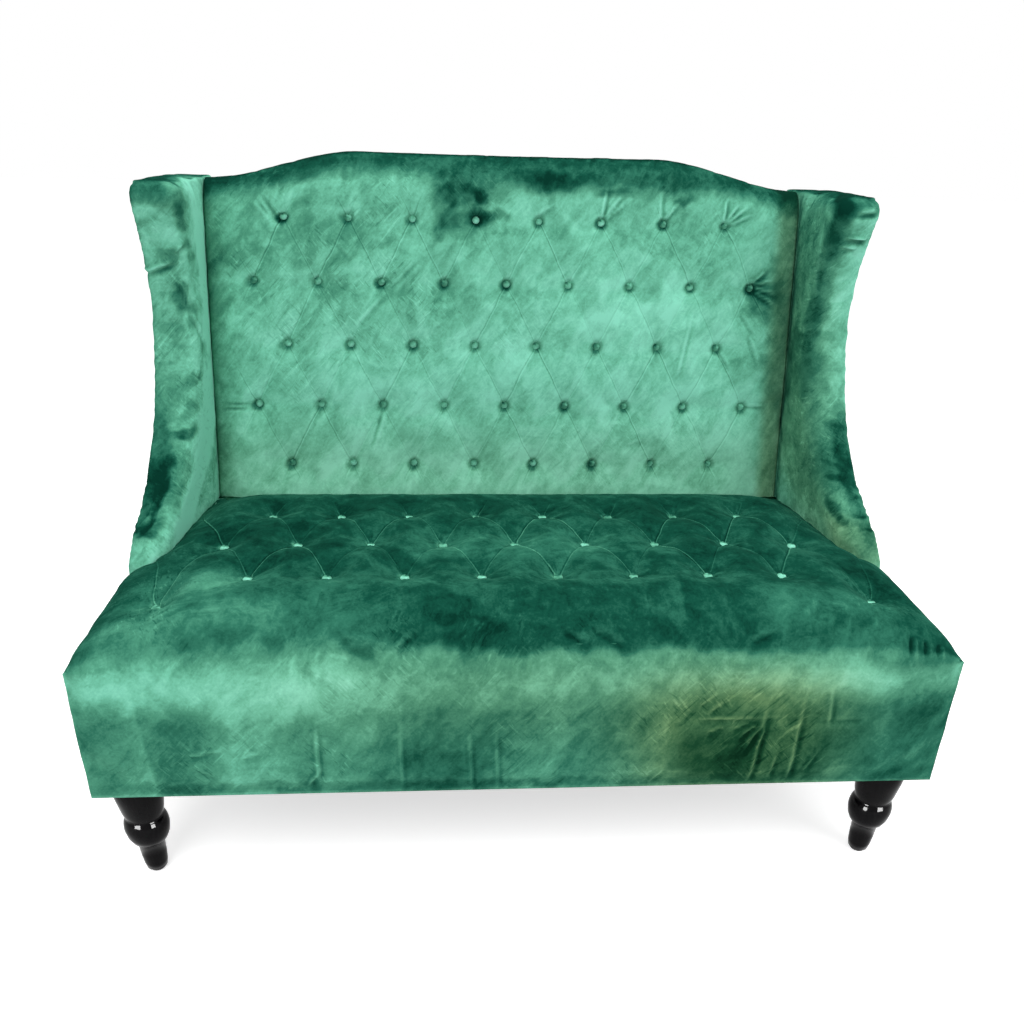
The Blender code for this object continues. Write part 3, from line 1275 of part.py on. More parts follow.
def make_outside_back(tilt, velvet, board):
    """Liner board and the outside back cover over it."""
    bm = bmesh.new()
    half = WING_OUTER_HALF - LINER_SIDE_SETBACK
    bottom = rise_at(LINER_REAR, RAIL_BOTTOM_Z)
    stations = camel_stations(POST_INNER_HALF)
    top = [(across, camel_rise(across) - TOP_RAIL_COVER - FIT_GAP) for across in stations]
    side_top = camel_rise(CAMEL_END_HALF) - TOP_RAIL_COVER - FIT_GAP
    outline = [(-half, bottom), (-half, side_top)] + top + [(half, side_top), (half, bottom)]
    points = [(across, LINER_FRONT, rise) for across, rise in outline]
    add_prism(bm, points, (0, LINER_THICKNESS, 0))
    make_piece("back_liner_board", bm, tilt, board)

    bm = bmesh.new()
    half = WING_OUTER_HALF
    bottom = rise_at(OUTSIDE_BACK_REAR, SEAT_UNDERSIDE_Z)
    wing_top = rise_at(OUTSIDE_BACK_REAR, WING_TOP_Z) - FIT_GAP
    stations = camel_stations(BACK_COVER_HALF)
    top = [(across, camel_rise(across) - OUTSIDE_BACK_TOP_DROP) for across in stations]
    corner = OUTSIDE_BACK_CORNER
    rounding = [(half, wing_top - corner), (half - RIM_SHARE * corner, wing_top - RIM_SHARE * corner)]
    rounding.append((half - corner, wing_top))
    outline = [(-half, bottom)]
    outline += [(-across, rise) for across, rise in rounding]
    outline += top
    outline += list(reversed(rounding))
    outline.append((half, bottom))
    points = [(across, OUTSIDE_BACK_FRONT, rise) for across, rise in outline]
    add_prism(bm, points, (0, OUTSIDE_BACK_THICKNESS, 0))
    make_piece("outside_back_cover", bm, tilt, velvet)


def make_dust_cover(datum, cloth):
    """Cloth under the seat frame, with a hole for each leg bolt."""
    low = SEAT_UNDERSIDE_Z
    rear = REAR_RAIL_DEPTH + RAIL_THICKNESS
    right = [
        (FRAME_FRONT_HALF, FRONT_RAIL_SETBACK),
        (FRAME_FRONT_HALF, SEAT_EAR_DEPTH),
        (FRAME_REAR_HALF, SEAT_EAR_DEPTH),
        (FRAME_REAR_HALF, rear),
    ]
    outline = right + [(-across, depth) for across, depth in reversed(right)]
    bm = bmesh.new()
    add_prism(bm, [(across, depth, low) for across, depth in outline], (0, 0, DUST_COVER_THICKNESS))
    cover = make_piece("seat_dust_cover", bm, datum, cloth)
    bm = bmesh.new()
    radius = LEG_BOLT_RADIUS + BORE_CLEARANCE
    for side in (-1, 1):
        upright = Matrix.Translation((side * REAR_LEG_HALF_SPACING, REAR_LEG_TOP_DEPTH, 0))
        for place in (lean_matrix(side), upright):
            profile = ((radius, low - CUT_OVERRUN), (radius, low + CUT_OVERRUN))
            add_turned(bm, profile, BOLT_SIDES, place)
    cut(cover, make_cutter("dust_cover_holes", bm, datum))


def make_materials():
    """All the finishes of the sofa."""
    return {
        "velvet": make_material("green_velvet", (0.035, 0.235, 0.125), 0.85),
        "foam": make_material("seat_foam_yellow", (0.80, 0.68, 0.40), 0.95),
        "wood": make_material("frame_wood", (0.52, 0.36, 0.20), 0.75),
        "plywood": make_material("plywood", (0.62, 0.45, 0.27), 0.70),
        "lacquer": make_material("black_lacquer", (0.010, 0.010, 0.012), 0.12),
        "steel": make_material("zinc_steel", (0.55, 0.56, 0.58), 0.35, 1.0),
        "webbing": make_material("webbing", (0.08, 0.08, 0.09), 0.85),
        "board": make_material("grey_board", (0.38, 0.33, 0.27), 0.90),
        "cloth": make_material("black_dust_cloth", (0.02, 0.02, 0.02), 0.95),
        "felt": make_material("grey_felt", (0.12, 0.12, 0.12), 0.95),
    }


def build():
    """Make the whole sofa."""
    remove_old_objects()
    materials = make_materials()
    wood = materials["wood"]
    datum = make_empty("front_datum", (0, FRONT_Y, 0))
    tilt = make_empty("back_tilt", (0, FRONT_Y + BACK_BUTTON_DEPTH, BACK_DATUM_Z), (-BACK_RECLINE, 0, 0))
    blocks, rails = make_seat_frame(datum, wood)
    posts = make_back_frame(tilt, wood)
    make_webbing(datum, tilt, materials["webbing"])
    make_seat_soft(datum, materials["velvet"], materials["foam"])
    make_back_soft(tilt, materials["velvet"], materials["foam"])
    for side, name in ((-1, "left"), (1, "right")):
        panel = make_wing(name, side, datum, tilt, materials)
        make_wing_bolts(name, side, datum, panel, rails[name], posts[name], materials["steel"])
    make_legs(datum, materials, blocks)
    make_outside_back(tilt, materials["velvet"], materials["board"])
    make_dust_cover(datum, materials["cloth"])


build()
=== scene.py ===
"""Looks of a buttoned wing-back settee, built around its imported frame.

Lengths are in metres. X runs across the sofa, Y from its front to its back
and Z up. A depth is counted from the front of the seat, and a rise up the
reclined back from its datum.
"""

import json
import math

import bmesh
import bpy
import numpy as np
from mathutils import Matrix, Vector, noise


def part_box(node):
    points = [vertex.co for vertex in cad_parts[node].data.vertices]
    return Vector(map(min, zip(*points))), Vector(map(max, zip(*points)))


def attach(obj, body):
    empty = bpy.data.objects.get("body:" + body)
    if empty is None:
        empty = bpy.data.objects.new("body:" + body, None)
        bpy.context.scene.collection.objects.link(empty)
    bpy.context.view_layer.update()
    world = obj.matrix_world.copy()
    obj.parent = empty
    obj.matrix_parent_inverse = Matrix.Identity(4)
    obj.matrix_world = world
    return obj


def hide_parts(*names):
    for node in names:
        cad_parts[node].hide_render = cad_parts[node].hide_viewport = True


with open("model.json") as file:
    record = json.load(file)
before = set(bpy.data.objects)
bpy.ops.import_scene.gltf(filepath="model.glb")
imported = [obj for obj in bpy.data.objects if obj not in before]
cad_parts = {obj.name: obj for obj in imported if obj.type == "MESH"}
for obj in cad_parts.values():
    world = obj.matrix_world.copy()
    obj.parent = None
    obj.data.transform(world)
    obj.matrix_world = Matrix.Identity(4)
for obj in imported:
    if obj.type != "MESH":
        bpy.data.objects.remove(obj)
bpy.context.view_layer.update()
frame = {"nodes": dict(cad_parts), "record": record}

FRONT_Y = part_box("seat_cover")[0].y
SEAT_HALF = 0.650
SEAT_BOTTOM_Z = 0.1905
SEAT_EDGE_Z = 0.400
SEAT_CROWN_Z = 0.475
SEAT_ROLL_DEPTH = 0.070
SEAT_EAR_DEPTH = 0.268
SEAT_REAR_EDGE_Z = 0.438
SEAT_REAR_ROLL = 0.060
SEAT_SIDE_FALL = 0.260
SEAT_WING_FALL = 0.120
SEAT_WING_DROP = 0.034
SEAT_MOST_DROP = 0.0365
SEAT_BACK_FALL = 0.150
SEAT_FOOT_INSET = 0.014
RAIL_HALF = 0.6255
REAR_RAIL_HALF = 0.5997
RAIL_SETBACK = 0.0125
WING_FRONT_HALF = 0.589
WING_REAR_HALF = 0.555
WING_OUTER_HALF = 0.6335
WING_RIM_HALF = 0.6325
PANEL_INNER_HALF = 0.620
PANEL_OUTER_HALF = 0.6332

BACK_DATUM_Z = 0.460
BACK_DATUM_DEPTH = 0.618
BACK_RECLINE = math.radians(6.73)
BACK_HALF = 0.5547
BACK_CREST = 0.013
BACK_SIDE_FALL = 0.008
BACK_TOP_RISE = 0.6205
BACK_ROLL_HEIGHT = 0.055
BACK_ROLL_CREST = 0.024
BACK_ROLL_REAR_DROP = 0.011
BACK_COVER_REAR = 0.0951
BACK_WALL = 0.0125
WING_REAR = 0.0873
PANEL_REAR = 0.0878
OUTSIDE_BACK_PLACE = 0.0925
CAMEL_DROP = 0.049
CAMEL_FLAT_HALF = 0.280
CAMEL_END_HALF = 0.550

SEAT_BUTTON_SPACING = 0.1215
SEAT_ROW_STEP = 0.129
SEAT_FIRST_ROW = 0.182
SEAT_BUTTON_ROWS = (10, 9, 8)
BACK_BUTTON_SPACING = 0.118
BACK_ROW_STEP = 0.1154
BACK_FIRST_ROW = 0.0433
BACK_BUTTON_ROWS = (8, 9, 8, 9, 8)
CELLS_PER_PITCH = 12

TILT = Matrix.Translation((0, FRONT_Y + BACK_DATUM_DEPTH, BACK_DATUM_Z)) @ Matrix.Rotation(
    -BACK_RECLINE, 4, "X"
)


# Camera

def link(name, data):
    """Put a camera, a mesh or a lamp in the scene as an object at the origin."""
    made = bpy.data.objects.new(name, data)
    bpy.context.scene.collection.objects.link(made)
    return made


def make_camera():
    """Stand where the photograph was taken from."""
    camera = link("camera", bpy.data.cameras.new("camera"))
    bpy.context.scene.camera = camera
    camera.data.lens = 34.374
    camera.data.sensor_width = 36
    camera.location = (-0.1304, -1.61386, 1.1141)
    pitch, yaw, roll = (math.radians(angle) for angle in (21.159, 4.657, 1.645))
    turn = (
        Matrix.Rotation(-yaw, 3, "Z")
        @ Matrix.Rotation(math.pi / 2 - pitch, 3, "X")
        @ Matrix.Rotation(roll, 3, "Z")
    )
    camera.rotation_euler = turn.to_euler()


make_camera()


# Shapes shared by several pieces

def smooth_step(share):
    """Ease from 0 to 1."""
    share = np.clip(share, 0, 1)
    return share * share * (3 - 2 * share)


def round_over(share):
    """Height of a quarter round at a share of its width."""
    return np.sqrt(1 - (1 - np.clip(share, 0, 1)) ** 2)


def lean_depth(rearwards, height):
    """Depth of a point of the reclined back at a height."""
    reach = (height - BACK_DATUM_Z) * math.tan(BACK_RECLINE)
    return BACK_DATUM_DEPTH + rearwards / math.cos(BACK_RECLINE) + reach


def rise_at(rearwards, height):
    """Distance up the back at which a point reaches a height."""
    drop = rearwards * math.sin(BACK_RECLINE)
    return (height - BACK_DATUM_Z + drop) / math.cos(BACK_RECLINE)


SEAT_REAR_DEPTH = lean_depth(-BACK_CREST, SEAT_REAR_EDGE_Z) - 0.0003


def wing_inner_half(depth):
    """Distance of a wing's inner face from the middle of the sofa."""
    share = np.clip((depth - SEAT_EAR_DEPTH) / (SEAT_REAR_DEPTH - SEAT_EAR_DEPTH), 0, 1)
    return WING_FRONT_HALF + share * (WING_REAR_HALF - WING_FRONT_HALF)


def camel_rise(across):
    """Top line of the back."""
    share = (np.abs(across) - CAMEL_FLAT_HALF) / (CAMEL_END_HALF - CAMEL_FLAT_HALF)
    return BACK_TOP_RISE - CAMEL_DROP * smooth_step(share)


def button_places(counts, spacing, first, step):
    """Places of the buttons, row by row."""
    return np.array([
        ((number - (count - 1) / 2) * spacing, first + row * step)
        for row, count in enumerate(counts)
        for number in range(count)
    ])


SEAT_BUTTONS = button_places(SEAT_BUTTON_ROWS, SEAT_BUTTON_SPACING, SEAT_FIRST_ROW, SEAT_ROW_STEP)
BACK_BUTTONS = button_places(BACK_BUTTON_ROWS, BACK_BUTTON_SPACING, BACK_FIRST_ROW, BACK_ROW_STEP)
SEAT_PITCH = (SEAT_BUTTON_SPACING, SEAT_ROW_STEP, SEAT_FIRST_ROW + SEAT_ROW_STEP)
BACK_PITCH = (BACK_BUTTON_SPACING, BACK_ROW_STEP, BACK_FIRST_ROW + BACK_ROW_STEP)


def wobble(places, scale, shift=0.0):
    """Smooth noise from -1 to 1 at each place."""
    offset = Vector((shift, 2.7 * shift, -1.3 * shift))
    return np.array([noise.noise(Vector(place) * scale + offset) for place in places.tolist()])


def oval(across, along, middle, reach, edge=0.4):
    """Strength from 0 to 1 of an oval patch with soft edges."""
    away_x = np.abs(across - middle[0]) / reach[0]
    away_y = np.abs(along - middle[1]) / reach[1]
    away = (away_x ** 2.6 + away_y ** 2.6) ** (1 / 2.6)
    return 1 - smooth_step((away - 1 + edge) / (2 * edge))


def crease(across, along, start, end, width, depth):
    """Depth of a crease between two places: a groove with a ridge beside it,
    deepest near its start."""
    along_x, along_y = end[0] - start[0], end[1] - start[1]
    length = math.hypot(along_x, along_y)
    share = ((across - start[0]) * along_x + (along - start[1]) * along_y) / length ** 2
    aside = ((along - start[1]) * along_x - (across - start[0]) * along_y) / length
    fade = smooth_step((share + 0.08) / 0.2) * (1 - smooth_step((share - 0.45) / 0.6))
    groove = np.exp(-(aside / width) ** 2)
    ridge = np.exp(-((aside - 1.9 * width) / width) ** 2)
    return depth * fade * (groove - 0.75 * ridge)


def creases(rows, across, along):
    """Depth of a cover's creases, taken together."""
    return sum(crease(across, along, *row) for row in rows)


def brushed(rows, across, along, edge):
    """Shade of a cover's brushed patches, taken together."""
    return sum(lift * oval(across, along, middle, reach, edge) for middle, reach, lift in rows)


def hashed(first, second, seed):
    """A steady random number from 0 to 1 for a pair of whole numbers."""
    mixed = np.sin(first * 12.9898 + second * 78.233 + seed * 37.719) * 43758.5453
    return mixed - np.floor(mixed)


def tufts(across, along, buttons, pitch, look):
    """How deep the buttons and the folds between them pull a cover in, how
    far the tufted area reaches and how dark the painted shadow in each button's hole is.

    pitch is (spacing across, step along, an even row). look gives the rise
    of the pillows and its roundness, the depth and the half width of the
    folds, the depth and the radius of the wide pull, of the hole round each
    button and of the wrinkles that run into it.
    """
    painted_hole_shade = np.zeros(len(across))
    spacing, step, even_row = pitch
    slant = (along - even_row) / (2 * step)
    line_gap = 1 / math.hypot(1 / spacing, 1 / (2 * step))
    pair = (across / spacing + slant, across / spacing - slant)
    pillow = 1
    fold = 0
    for turn, (lattice, other) in enumerate((pair, pair[::-1])):
        pillow = pillow * (1 - np.abs(2 * (lattice - np.floor(lattice)) - 1) ** look["roundness"])
        nearest = np.round(lattice)
        away = np.abs(lattice - nearest) * line_gap
        strength = 0.35 + 0.65 * hashed(nearest, np.floor(other), turn + look["seed"])
        near_button = np.abs(2 * (other - np.floor(other)) - 1)
        strength = strength * (0.55 + 0.45 * near_button ** 2)
        fold = np.maximum(fold, strength * np.exp(-(away / look["fold_width"]) ** 2))
    rows = buttons[:, 1]
    beyond = np.maximum(np.maximum(rows.min() - along, along - rows.max()), 0) / step
    outside = np.maximum(np.abs(across) - buttons[:, 0].max(), 0) / spacing
    fade = (1 - smooth_step(2.2 * beyond)) * (1 - smooth_step(2.4 * outside))
    sunk = (look["pillow"] * (1 - pillow) + look["fold"] * fold) * fade
    for number, (x, y) in enumerate(buttons):
        gap = np.hypot(across - x, along - y)
        near = gap < look["wide_radius"] * 1.6
        if not near.any():
            continue
        close = gap[near]
        angle = np.arctan2(along[near] - y, across[near] - x)
        luck = float(hashed(np.array(number), np.array(3), look["seed"]))
        arms = 3 + round(3 * luck)
        rays = np.cos(arms * angle + 6.28 * luck) + 0.6 * np.cos((arms + 4) * angle + 11 * luck)
        reach = smooth_step(close / 0.010) * (1 - smooth_step(close / look["wide_radius"]))
        pull = look["wide"] * (1 - smooth_step(close / look["wide_radius"])) * (0.85 + 0.3 * luck)
        hole = 1 - smooth_step((close - 0.35 * look["hole_radius"]) / (0.75 * look["hole_radius"]))
        sunk[near] = np.maximum(sunk[near], 0) * (1 - 0.3 * hole)
        sunk[near] += pull + look["hole"] * hole + look["rays"] * rays * reach
        # Painted shadow in each button's hole, set low and left of it.
        low_left = np.hypot(across[near] - x + 0.003, along[near] - y + 0.002)
        shadow = 1 - smooth_step((low_left - 0.006) / 0.009)
        painted_hole_shade[near] = np.maximum(painted_hole_shade[near], shadow * (0.35 + 0.65 * luck))
    return sunk, fade, painted_hole_shade


def spaced(*places_and_steps):
    """Places along a line, from the first on, each followed by its steps."""
    places = [places_and_steps[0]]
    for steps, end in zip(places_and_steps[1::2], places_and_steps[2::2]):
        start = places[-1]
        places += [start + (end - start) * step / steps for step in range(1, steps + 1)]
    return places


# Mesh helpers

def make_piece(name, bm):
    """Turn a bmesh into a smoothly shaded piece."""
    mesh = bpy.data.meshes.new(name)
    bm.to_mesh(mesh)
    bm.free()
    mesh.polygons.foreach_set("use_smooth", [True] * len(mesh.polygons))
    return link(name, mesh)


def points_of(mesh):
    """Places of a mesh's vertices, as rows."""
    places = np.empty(len(mesh.vertices) * 3, np.float32)
    mesh.vertices.foreach_get("co", places)
    return places.reshape(-1, 3).astype(float)


def set_points(mesh, places):
    """Move a mesh's vertices."""
    mesh.vertices.foreach_set("co", np.asarray(places, np.float32).ravel())
    mesh.update()


def normals_of(mesh):
    """Directions of a mesh's vertices, as rows."""
    normals = np.empty(len(mesh.vertices) * 3, np.float32)
    mesh.vertex_normals.foreach_get("vector", normals)
    return normals.reshape(-1, 3).astype(float)


def mark(mesh, name, values):
    """Store a number for each vertex."""
    layer = mesh.attributes.get(name) or mesh.attributes.new(name, "FLOAT", "POINT")
    layer.data.foreach_set("value", np.asarray(values, np.float32))


def marks(mesh, name):
    """Read the numbers that mark() stored."""
    values = np.empty(len(mesh.vertices), np.float32)
    mesh.attributes[name].data.foreach_get("value", values)
    return values.astype(float)


def bake_modifiers(piece):
    """Apply a piece's modifiers."""
    graph = bpy.context.evaluated_depsgraph_get()
    mesh = bpy.data.meshes.new_from_object(piece.evaluated_get(graph))
    piece.modifiers.clear()
    old = piece.data
    piece.data = mesh
    bpy.data.meshes.remove(old)


def subdivide(piece):
    """Add one level of Catmull-Clark subdivision and apply it."""
    finer = piece.modifiers.new("finer", "SUBSURF")
    finer.levels = finer.render_levels = 1
    bake_modifiers(piece)


def flip_faces(mesh):
    """Turn the faces of a sheet over if they look rearwards or down."""
    facing = np.empty(len(mesh.polygons) * 3, np.float32)
    mesh.polygons.foreach_get("normal", facing)
    facing = facing.reshape(-1, 3)
    if facing[:, 1].sum() > facing[:, 2].sum():
        mesh.flip_normals()


SETTLE_FRAMES = 14


def settle(piece, held, pressure, slack, most):
    """Let a cover settle as cloth over the push of its padding.

    held gives each vertex's hold from 0 to 1, slack the extra cloth as a
    share and most how far a vertex may move.
    """
    start = points_of(piece.data)
    group = piece.vertex_groups.new(name="held")
    for weight in np.unique(np.round(held, 1)):
        members = np.nonzero(np.round(held, 1) == weight)[0].tolist()
        group.add(members, float(weight), "REPLACE")
    cloth = piece.modifiers.new("cloth", "CLOTH")
    cloth.settings.quality = 6
    cloth.settings.mass = 0.3
    cloth.settings.tension_stiffness = 18
    cloth.settings.compression_stiffness = 12
    cloth.settings.shear_stiffness = 6
    cloth.settings.bending_stiffness = 0.4
    cloth.settings.use_pressure = True
    cloth.settings.uniform_pressure_force = pressure
    cloth.settings.shrink_min = -slack
    cloth.settings.vertex_group_mass = "held"
    cloth.settings.effector_weights.gravity = 0
    cloth.point_cache.frame_start = 1
    cloth.point_cache.frame_end = SETTLE_FRAMES
    for moment in range(1, SETTLE_FRAMES + 1):
        bpy.context.scene.frame_set(moment)
    graph = bpy.context.evaluated_depsgraph_get()
    moved = points_of(piece.evaluated_get(graph).data) - start
    piece.modifiers.clear()
    piece.vertex_groups.clear()
    bpy.context.scene.frame_set(1)
    reach = np.linalg.norm(moved, axis=1)
    capped = most * np.tanh(reach / most) / np.maximum(reach, 1e-9)
    set_points(piece.data, start + moved * capped[:, None])


def near_buttons(across, along, buttons, radius):
    """1 near a button, 0 elsewhere."""
    close = np.zeros(len(across))
    for x, y in buttons:
        close = np.maximum(close, np.hypot(across - x, along - y) < radius)
    return close


def cell_grid(columns, rows):
    """A grid whose vertices stand at whole numbers of columns and rows."""
    bm = bmesh.new()
    bmesh.ops.create_grid(bm, x_segments=columns, y_segments=rows, size=0.5)
    bmesh.ops.translate(bm, vec=(0.5, 0.5, 0), verts=bm.verts)
    bmesh.ops.scale(bm, vec=(columns, rows, 1), verts=bm.verts)
    for vertex in bm.verts:
        vertex.co.x = round(vertex.co.x)
        vertex.co.y = round(vertex.co.y)
    return bm


def extrude_rim(bm, rim):
    """Extrude the edges of a rim: the new vertices, in order, and the new rim."""
    made = bmesh.ops.extrude_edge_only(bm, edges=rim)["geom"]
    fresh = [item for item in made if isinstance(item, bmesh.types.BMVert)]
    among = set(fresh)
    rim = [
        item for item in made
        if isinstance(item, bmesh.types.BMEdge) and all(vertex in among for vertex in item.verts)
    ]
    return fresh, rim


def close_cover(bm, mesh):
    """Fill what is open in a cover, face it outwards and store it in a mesh."""
    bmesh.ops.holes_fill(bm, edges=[edge for edge in bm.edges if edge.is_boundary], sides=0)
    bmesh.ops.triangulate(bm, faces=[face for face in bm.faces if len(face.verts) > 4])
    bmesh.ops.recalc_face_normals(bm, faces=bm.faces)
    crown = max(bm.faces, key=lambda face: face.calc_center_median().z)
    if crown.normal.z < 0:
        bmesh.ops.reverse_faces(bm, faces=bm.faces)
    bm.to_mesh(mesh)
    bm.free()


def remesh(piece, size):
    """Add a remesh into even cells of a size, which bake_modifiers applies."""
    cells = piece.modifiers.new("remesh", "REMESH")
    cells.mode = "VOXEL"
    cells.voxel_size = size
    cells.use_smooth_shade = True


def thick_outline(places, inner, outer):
    """A slab from one x to another whose outline is given as (y, z)."""
    bm = bmesh.new()
    face = bm.faces.new([bm.verts.new((inner, y, z)) for y, z in places])
    for item in bmesh.ops.extrude_face_region(bm, geom=[face])["geom"]:
        if isinstance(item, bmesh.types.BMVert):
            item.co.x = outer
    bmesh.ops.recalc_face_normals(bm, faces=bm.faces)
    return bm


# Seat

SEAT_HALF_COLUMNS = spaced(0, 9 * CELLS_PER_PITCH, 4.5 * SEAT_BUTTON_SPACING, 8, WING_FRONT_HALF)
SEAT_EAR_COLUMN = len(SEAT_HALF_COLUMNS) - 1
EAR_START = math.asin((WING_FRONT_HALF - SEAT_HALF + SEAT_ROLL_DEPTH) / SEAT_ROLL_DEPTH)
SEAT_HALF_COLUMNS += [
    SEAT_HALF - SEAT_ROLL_DEPTH + SEAT_ROLL_DEPTH * math.sin(angle)
    for angle in spaced(EAR_START, 12, math.pi / 2)[1:]
]
SEAT_COLUMNS = np.array([-across for across in SEAT_HALF_COLUMNS[:0:-1]] + SEAT_HALF_COLUMNS)
SEAT_MIDDLE_COLUMN = len(SEAT_HALF_COLUMNS) - 1
SEAT_ROW_CELL = SEAT_ROW_STEP / CELLS_PER_PITCH
SEAT_ROWS = [SEAT_ROLL_DEPTH * (1 - math.cos(angle)) for angle in spaced(0, 12, math.pi / 2)]
SEAT_ROWS += spaced(SEAT_FIRST_ROW - 10 * SEAT_ROW_CELL, 10, SEAT_FIRST_ROW)
SEAT_EAR_ROW = len(SEAT_ROWS) - 1 + 8
SEAT_ROWS += spaced(
    SEAT_FIRST_ROW, 24, SEAT_FIRST_ROW + 2 * SEAT_ROW_STEP, 10, SEAT_REAR_DEPTH - SEAT_REAR_ROLL
)[1:]
SEAT_ROWS += [
    SEAT_REAR_DEPTH - SEAT_REAR_ROLL * (1 - math.sin(angle))
    for angle in spaced(0, 7, math.pi / 2)[1:]
]
SEAT_ROWS = np.array(SEAT_ROWS)
SKIRT_ROWS = 20


BROAD = {"fold": 0.0, "hole": 0.0, "rays": 0.0}
FINE = {"pillow": 0.0, "wide": 0.0}
SEAT_PRESSURE = 3.0
BACK_PRESSURE = 2.5
WING_PRESSURE = 4.0
SEAT_END_SHIFT = 0.070
BUTTON_HOLD = 0.011
SEAT_LOOK = {
    "pillow": 0.0060, "roundness": 2.2, "fold": 0.0018, "fold_width": 0.0036,
    "wide": 0.0115, "wide_radius": 0.060, "hole": 0.0055, "hole_radius": 0.012,
    "rays": 0.0011, "seed": 4.0,
}
# Creases in the seat's top and over its roll: start, end, half width, depth
SEAT_CREASES = (
    ((-0.260, 0.008), (-0.205, 0.003), 0.0030, 0.0032), ((-0.268, 0.014), (-0.200, 0.007), 0.0030, 0.0026),
    ((-0.188, 0.007), (-0.149, 0.022), 0.0030, 0.0026), ((0.049, 0.020), (0.088, 0.006), 0.0030, 0.0030),
    ((0.093, 0.020), (0.144, 0.004), 0.0030, 0.0030), ((0.326, 0.009), (0.372, 0.016), 0.0030, 0.0024),
    ((-0.486, 0.048), (-0.422, 0.052), 0.0034, 0.0018), ((-0.534, 0.041), (-0.472, 0.074), 0.0034, 0.0018),
    ((0.572, 0.018), (0.565, 0.000), 0.0030, 0.0042), ((0.594, 0.017), (0.588, 0.000), 0.0030, 0.0046),
    ((0.613, 0.015), (0.608, 0.000), 0.0028, 0.0042), ((0.437, 0.060), (0.500, 0.042), 0.0034, 0.0016),
)
# Creases in the front: start, end, half width, depth, as (across, height)
APRON_CREASES = (
    ((-0.487, 0.262), (-0.430, 0.272), 0.0030, 0.0026), ((-0.486, 0.242), (-0.445, 0.218), 0.0030, 0.0022),
    ((-0.301, 0.215), (-0.303, 0.330), 0.0030, 0.0026), ((-0.318, 0.205), (-0.296, 0.238), 0.0028, 0.0026),
    ((-0.413, 0.257), (-0.377, 0.268), 0.0030, 0.0020), ((-0.179, 0.205), (-0.183, 0.330), 0.0028, 0.0012),
    ((-0.076, 0.199), (-0.082, 0.314), 0.0028, 0.0018), ((-0.037, 0.198), (-0.043, 0.313), 0.0028, 0.0016),
    ((-0.033, 0.318), (0.055, 0.316), 0.0024, 0.0012), ((0.256, 0.310), (0.400, 0.308), 0.0024, 0.0026),
    ((0.502, 0.306), (0.360, 0.308), 0.0024, 0.0026), ((0.349, 0.199), (0.362, 0.345), 0.0040, 0.0036),
    ((0.409, 0.199), (0.418, 0.373), 0.0040, 0.0030), ((0.459, 0.303), (0.455, 0.367), 0.0036, 0.0022),
    ((0.348, 0.302), (0.311, 0.269), 0.0026, 0.0034), ((0.351, 0.298), (0.325, 0.240), 0.0026, 0.0034),
    ((0.353, 0.296), (0.335, 0.252), 0.0024, 0.0030), ((0.345, 0.306), (0.300, 0.290), 0.0026, 0.0028),
    ((0.269, 0.286), (0.305, 0.302), 0.0026, 0.0024), ((0.256, 0.333), (0.287, 0.358), 0.0026, 0.0022),
    ((0.271, 0.321), (0.297, 0.343), 0.0026, 0.0022), ((0.192, 0.196), (0.214, 0.226), 0.0026, 0.0018),
    ((0.378, 0.205), (0.386, 0.262), 0.0030, 0.0022), ((0.430, 0.215), (0.452, 0.262), 0.0028, 0.0018),
)
# How light the nap lies in bands across the front, as (across, shade)
APRON_BANDS = (
    (-0.65, -0.24), (-0.560, -0.20), (-0.554, -0.36), (-0.500, -0.33), (-0.450, -0.24),
    (-0.432, -0.22), (-0.427, -0.15), (-0.360, -0.23), (-0.306, -0.26), (-0.300, -0.18),
    (-0.240, -0.25), (-0.184, -0.28), (-0.179, -0.36), (-0.100, -0.36), (0.000, -0.28),
    (0.100, -0.30), (0.190, -0.29), (0.300, -0.35), (0.420, -0.34), (0.520, -0.40), (0.65, -0.42),
)
# Brushed patches of the front and of the top: middle, reach, shade
APRON_BRUSHED = (
    ((-0.060, 0.240), (0.022, 0.075), -0.09), ((0.285, 0.250), (0.060, 0.050), -0.20),
    ((0.375, 0.250), (0.085, 0.060), -0.15), ((-0.500, 0.235), (0.040, 0.040), -0.04),
    ((0.450, 0.285), (0.070, 0.040), -0.02), ((-0.600, 0.280), (0.045, 0.080), -0.14),
    ((-0.150, 0.230), (0.070, 0.045), -0.12), ((0.500, 0.370), (0.060, 0.030), 0.12),
    ((-0.300, 0.205), (0.330, 0.010), -0.16), ((0.300, 0.205), (0.330, 0.010), -0.14),
    ((-0.450, 0.370), (0.220, 0.045), 0.16), ((0.600, 0.350), (0.050, 0.060), -0.10),
)
SEAT_BRUSHED = (
    ((-0.470, 0.075), (0.130, 0.050), 0.24), ((-0.330, 0.035), (0.130, 0.040), 0.18),
    ((-0.560, 0.030), (0.090, 0.030), 0.20), ((-0.520, 0.150), (0.060, 0.030), 0.22),
    ((-0.200, 0.110), (0.120, 0.040), 0.10), ((0.020, 0.270), (0.220, 0.090), 0.15),
    ((0.250, 0.060), (0.200, 0.050), 0.10), ((0.480, 0.040), (0.140, 0.050), 0.16),
    ((-0.450, 0.150), (0.060, 0.040), 0.14), ((0.120, 0.140), (0.120, 0.030), 0.10),
    ((0.030, 0.060), (0.120, 0.050), 0.05),
)


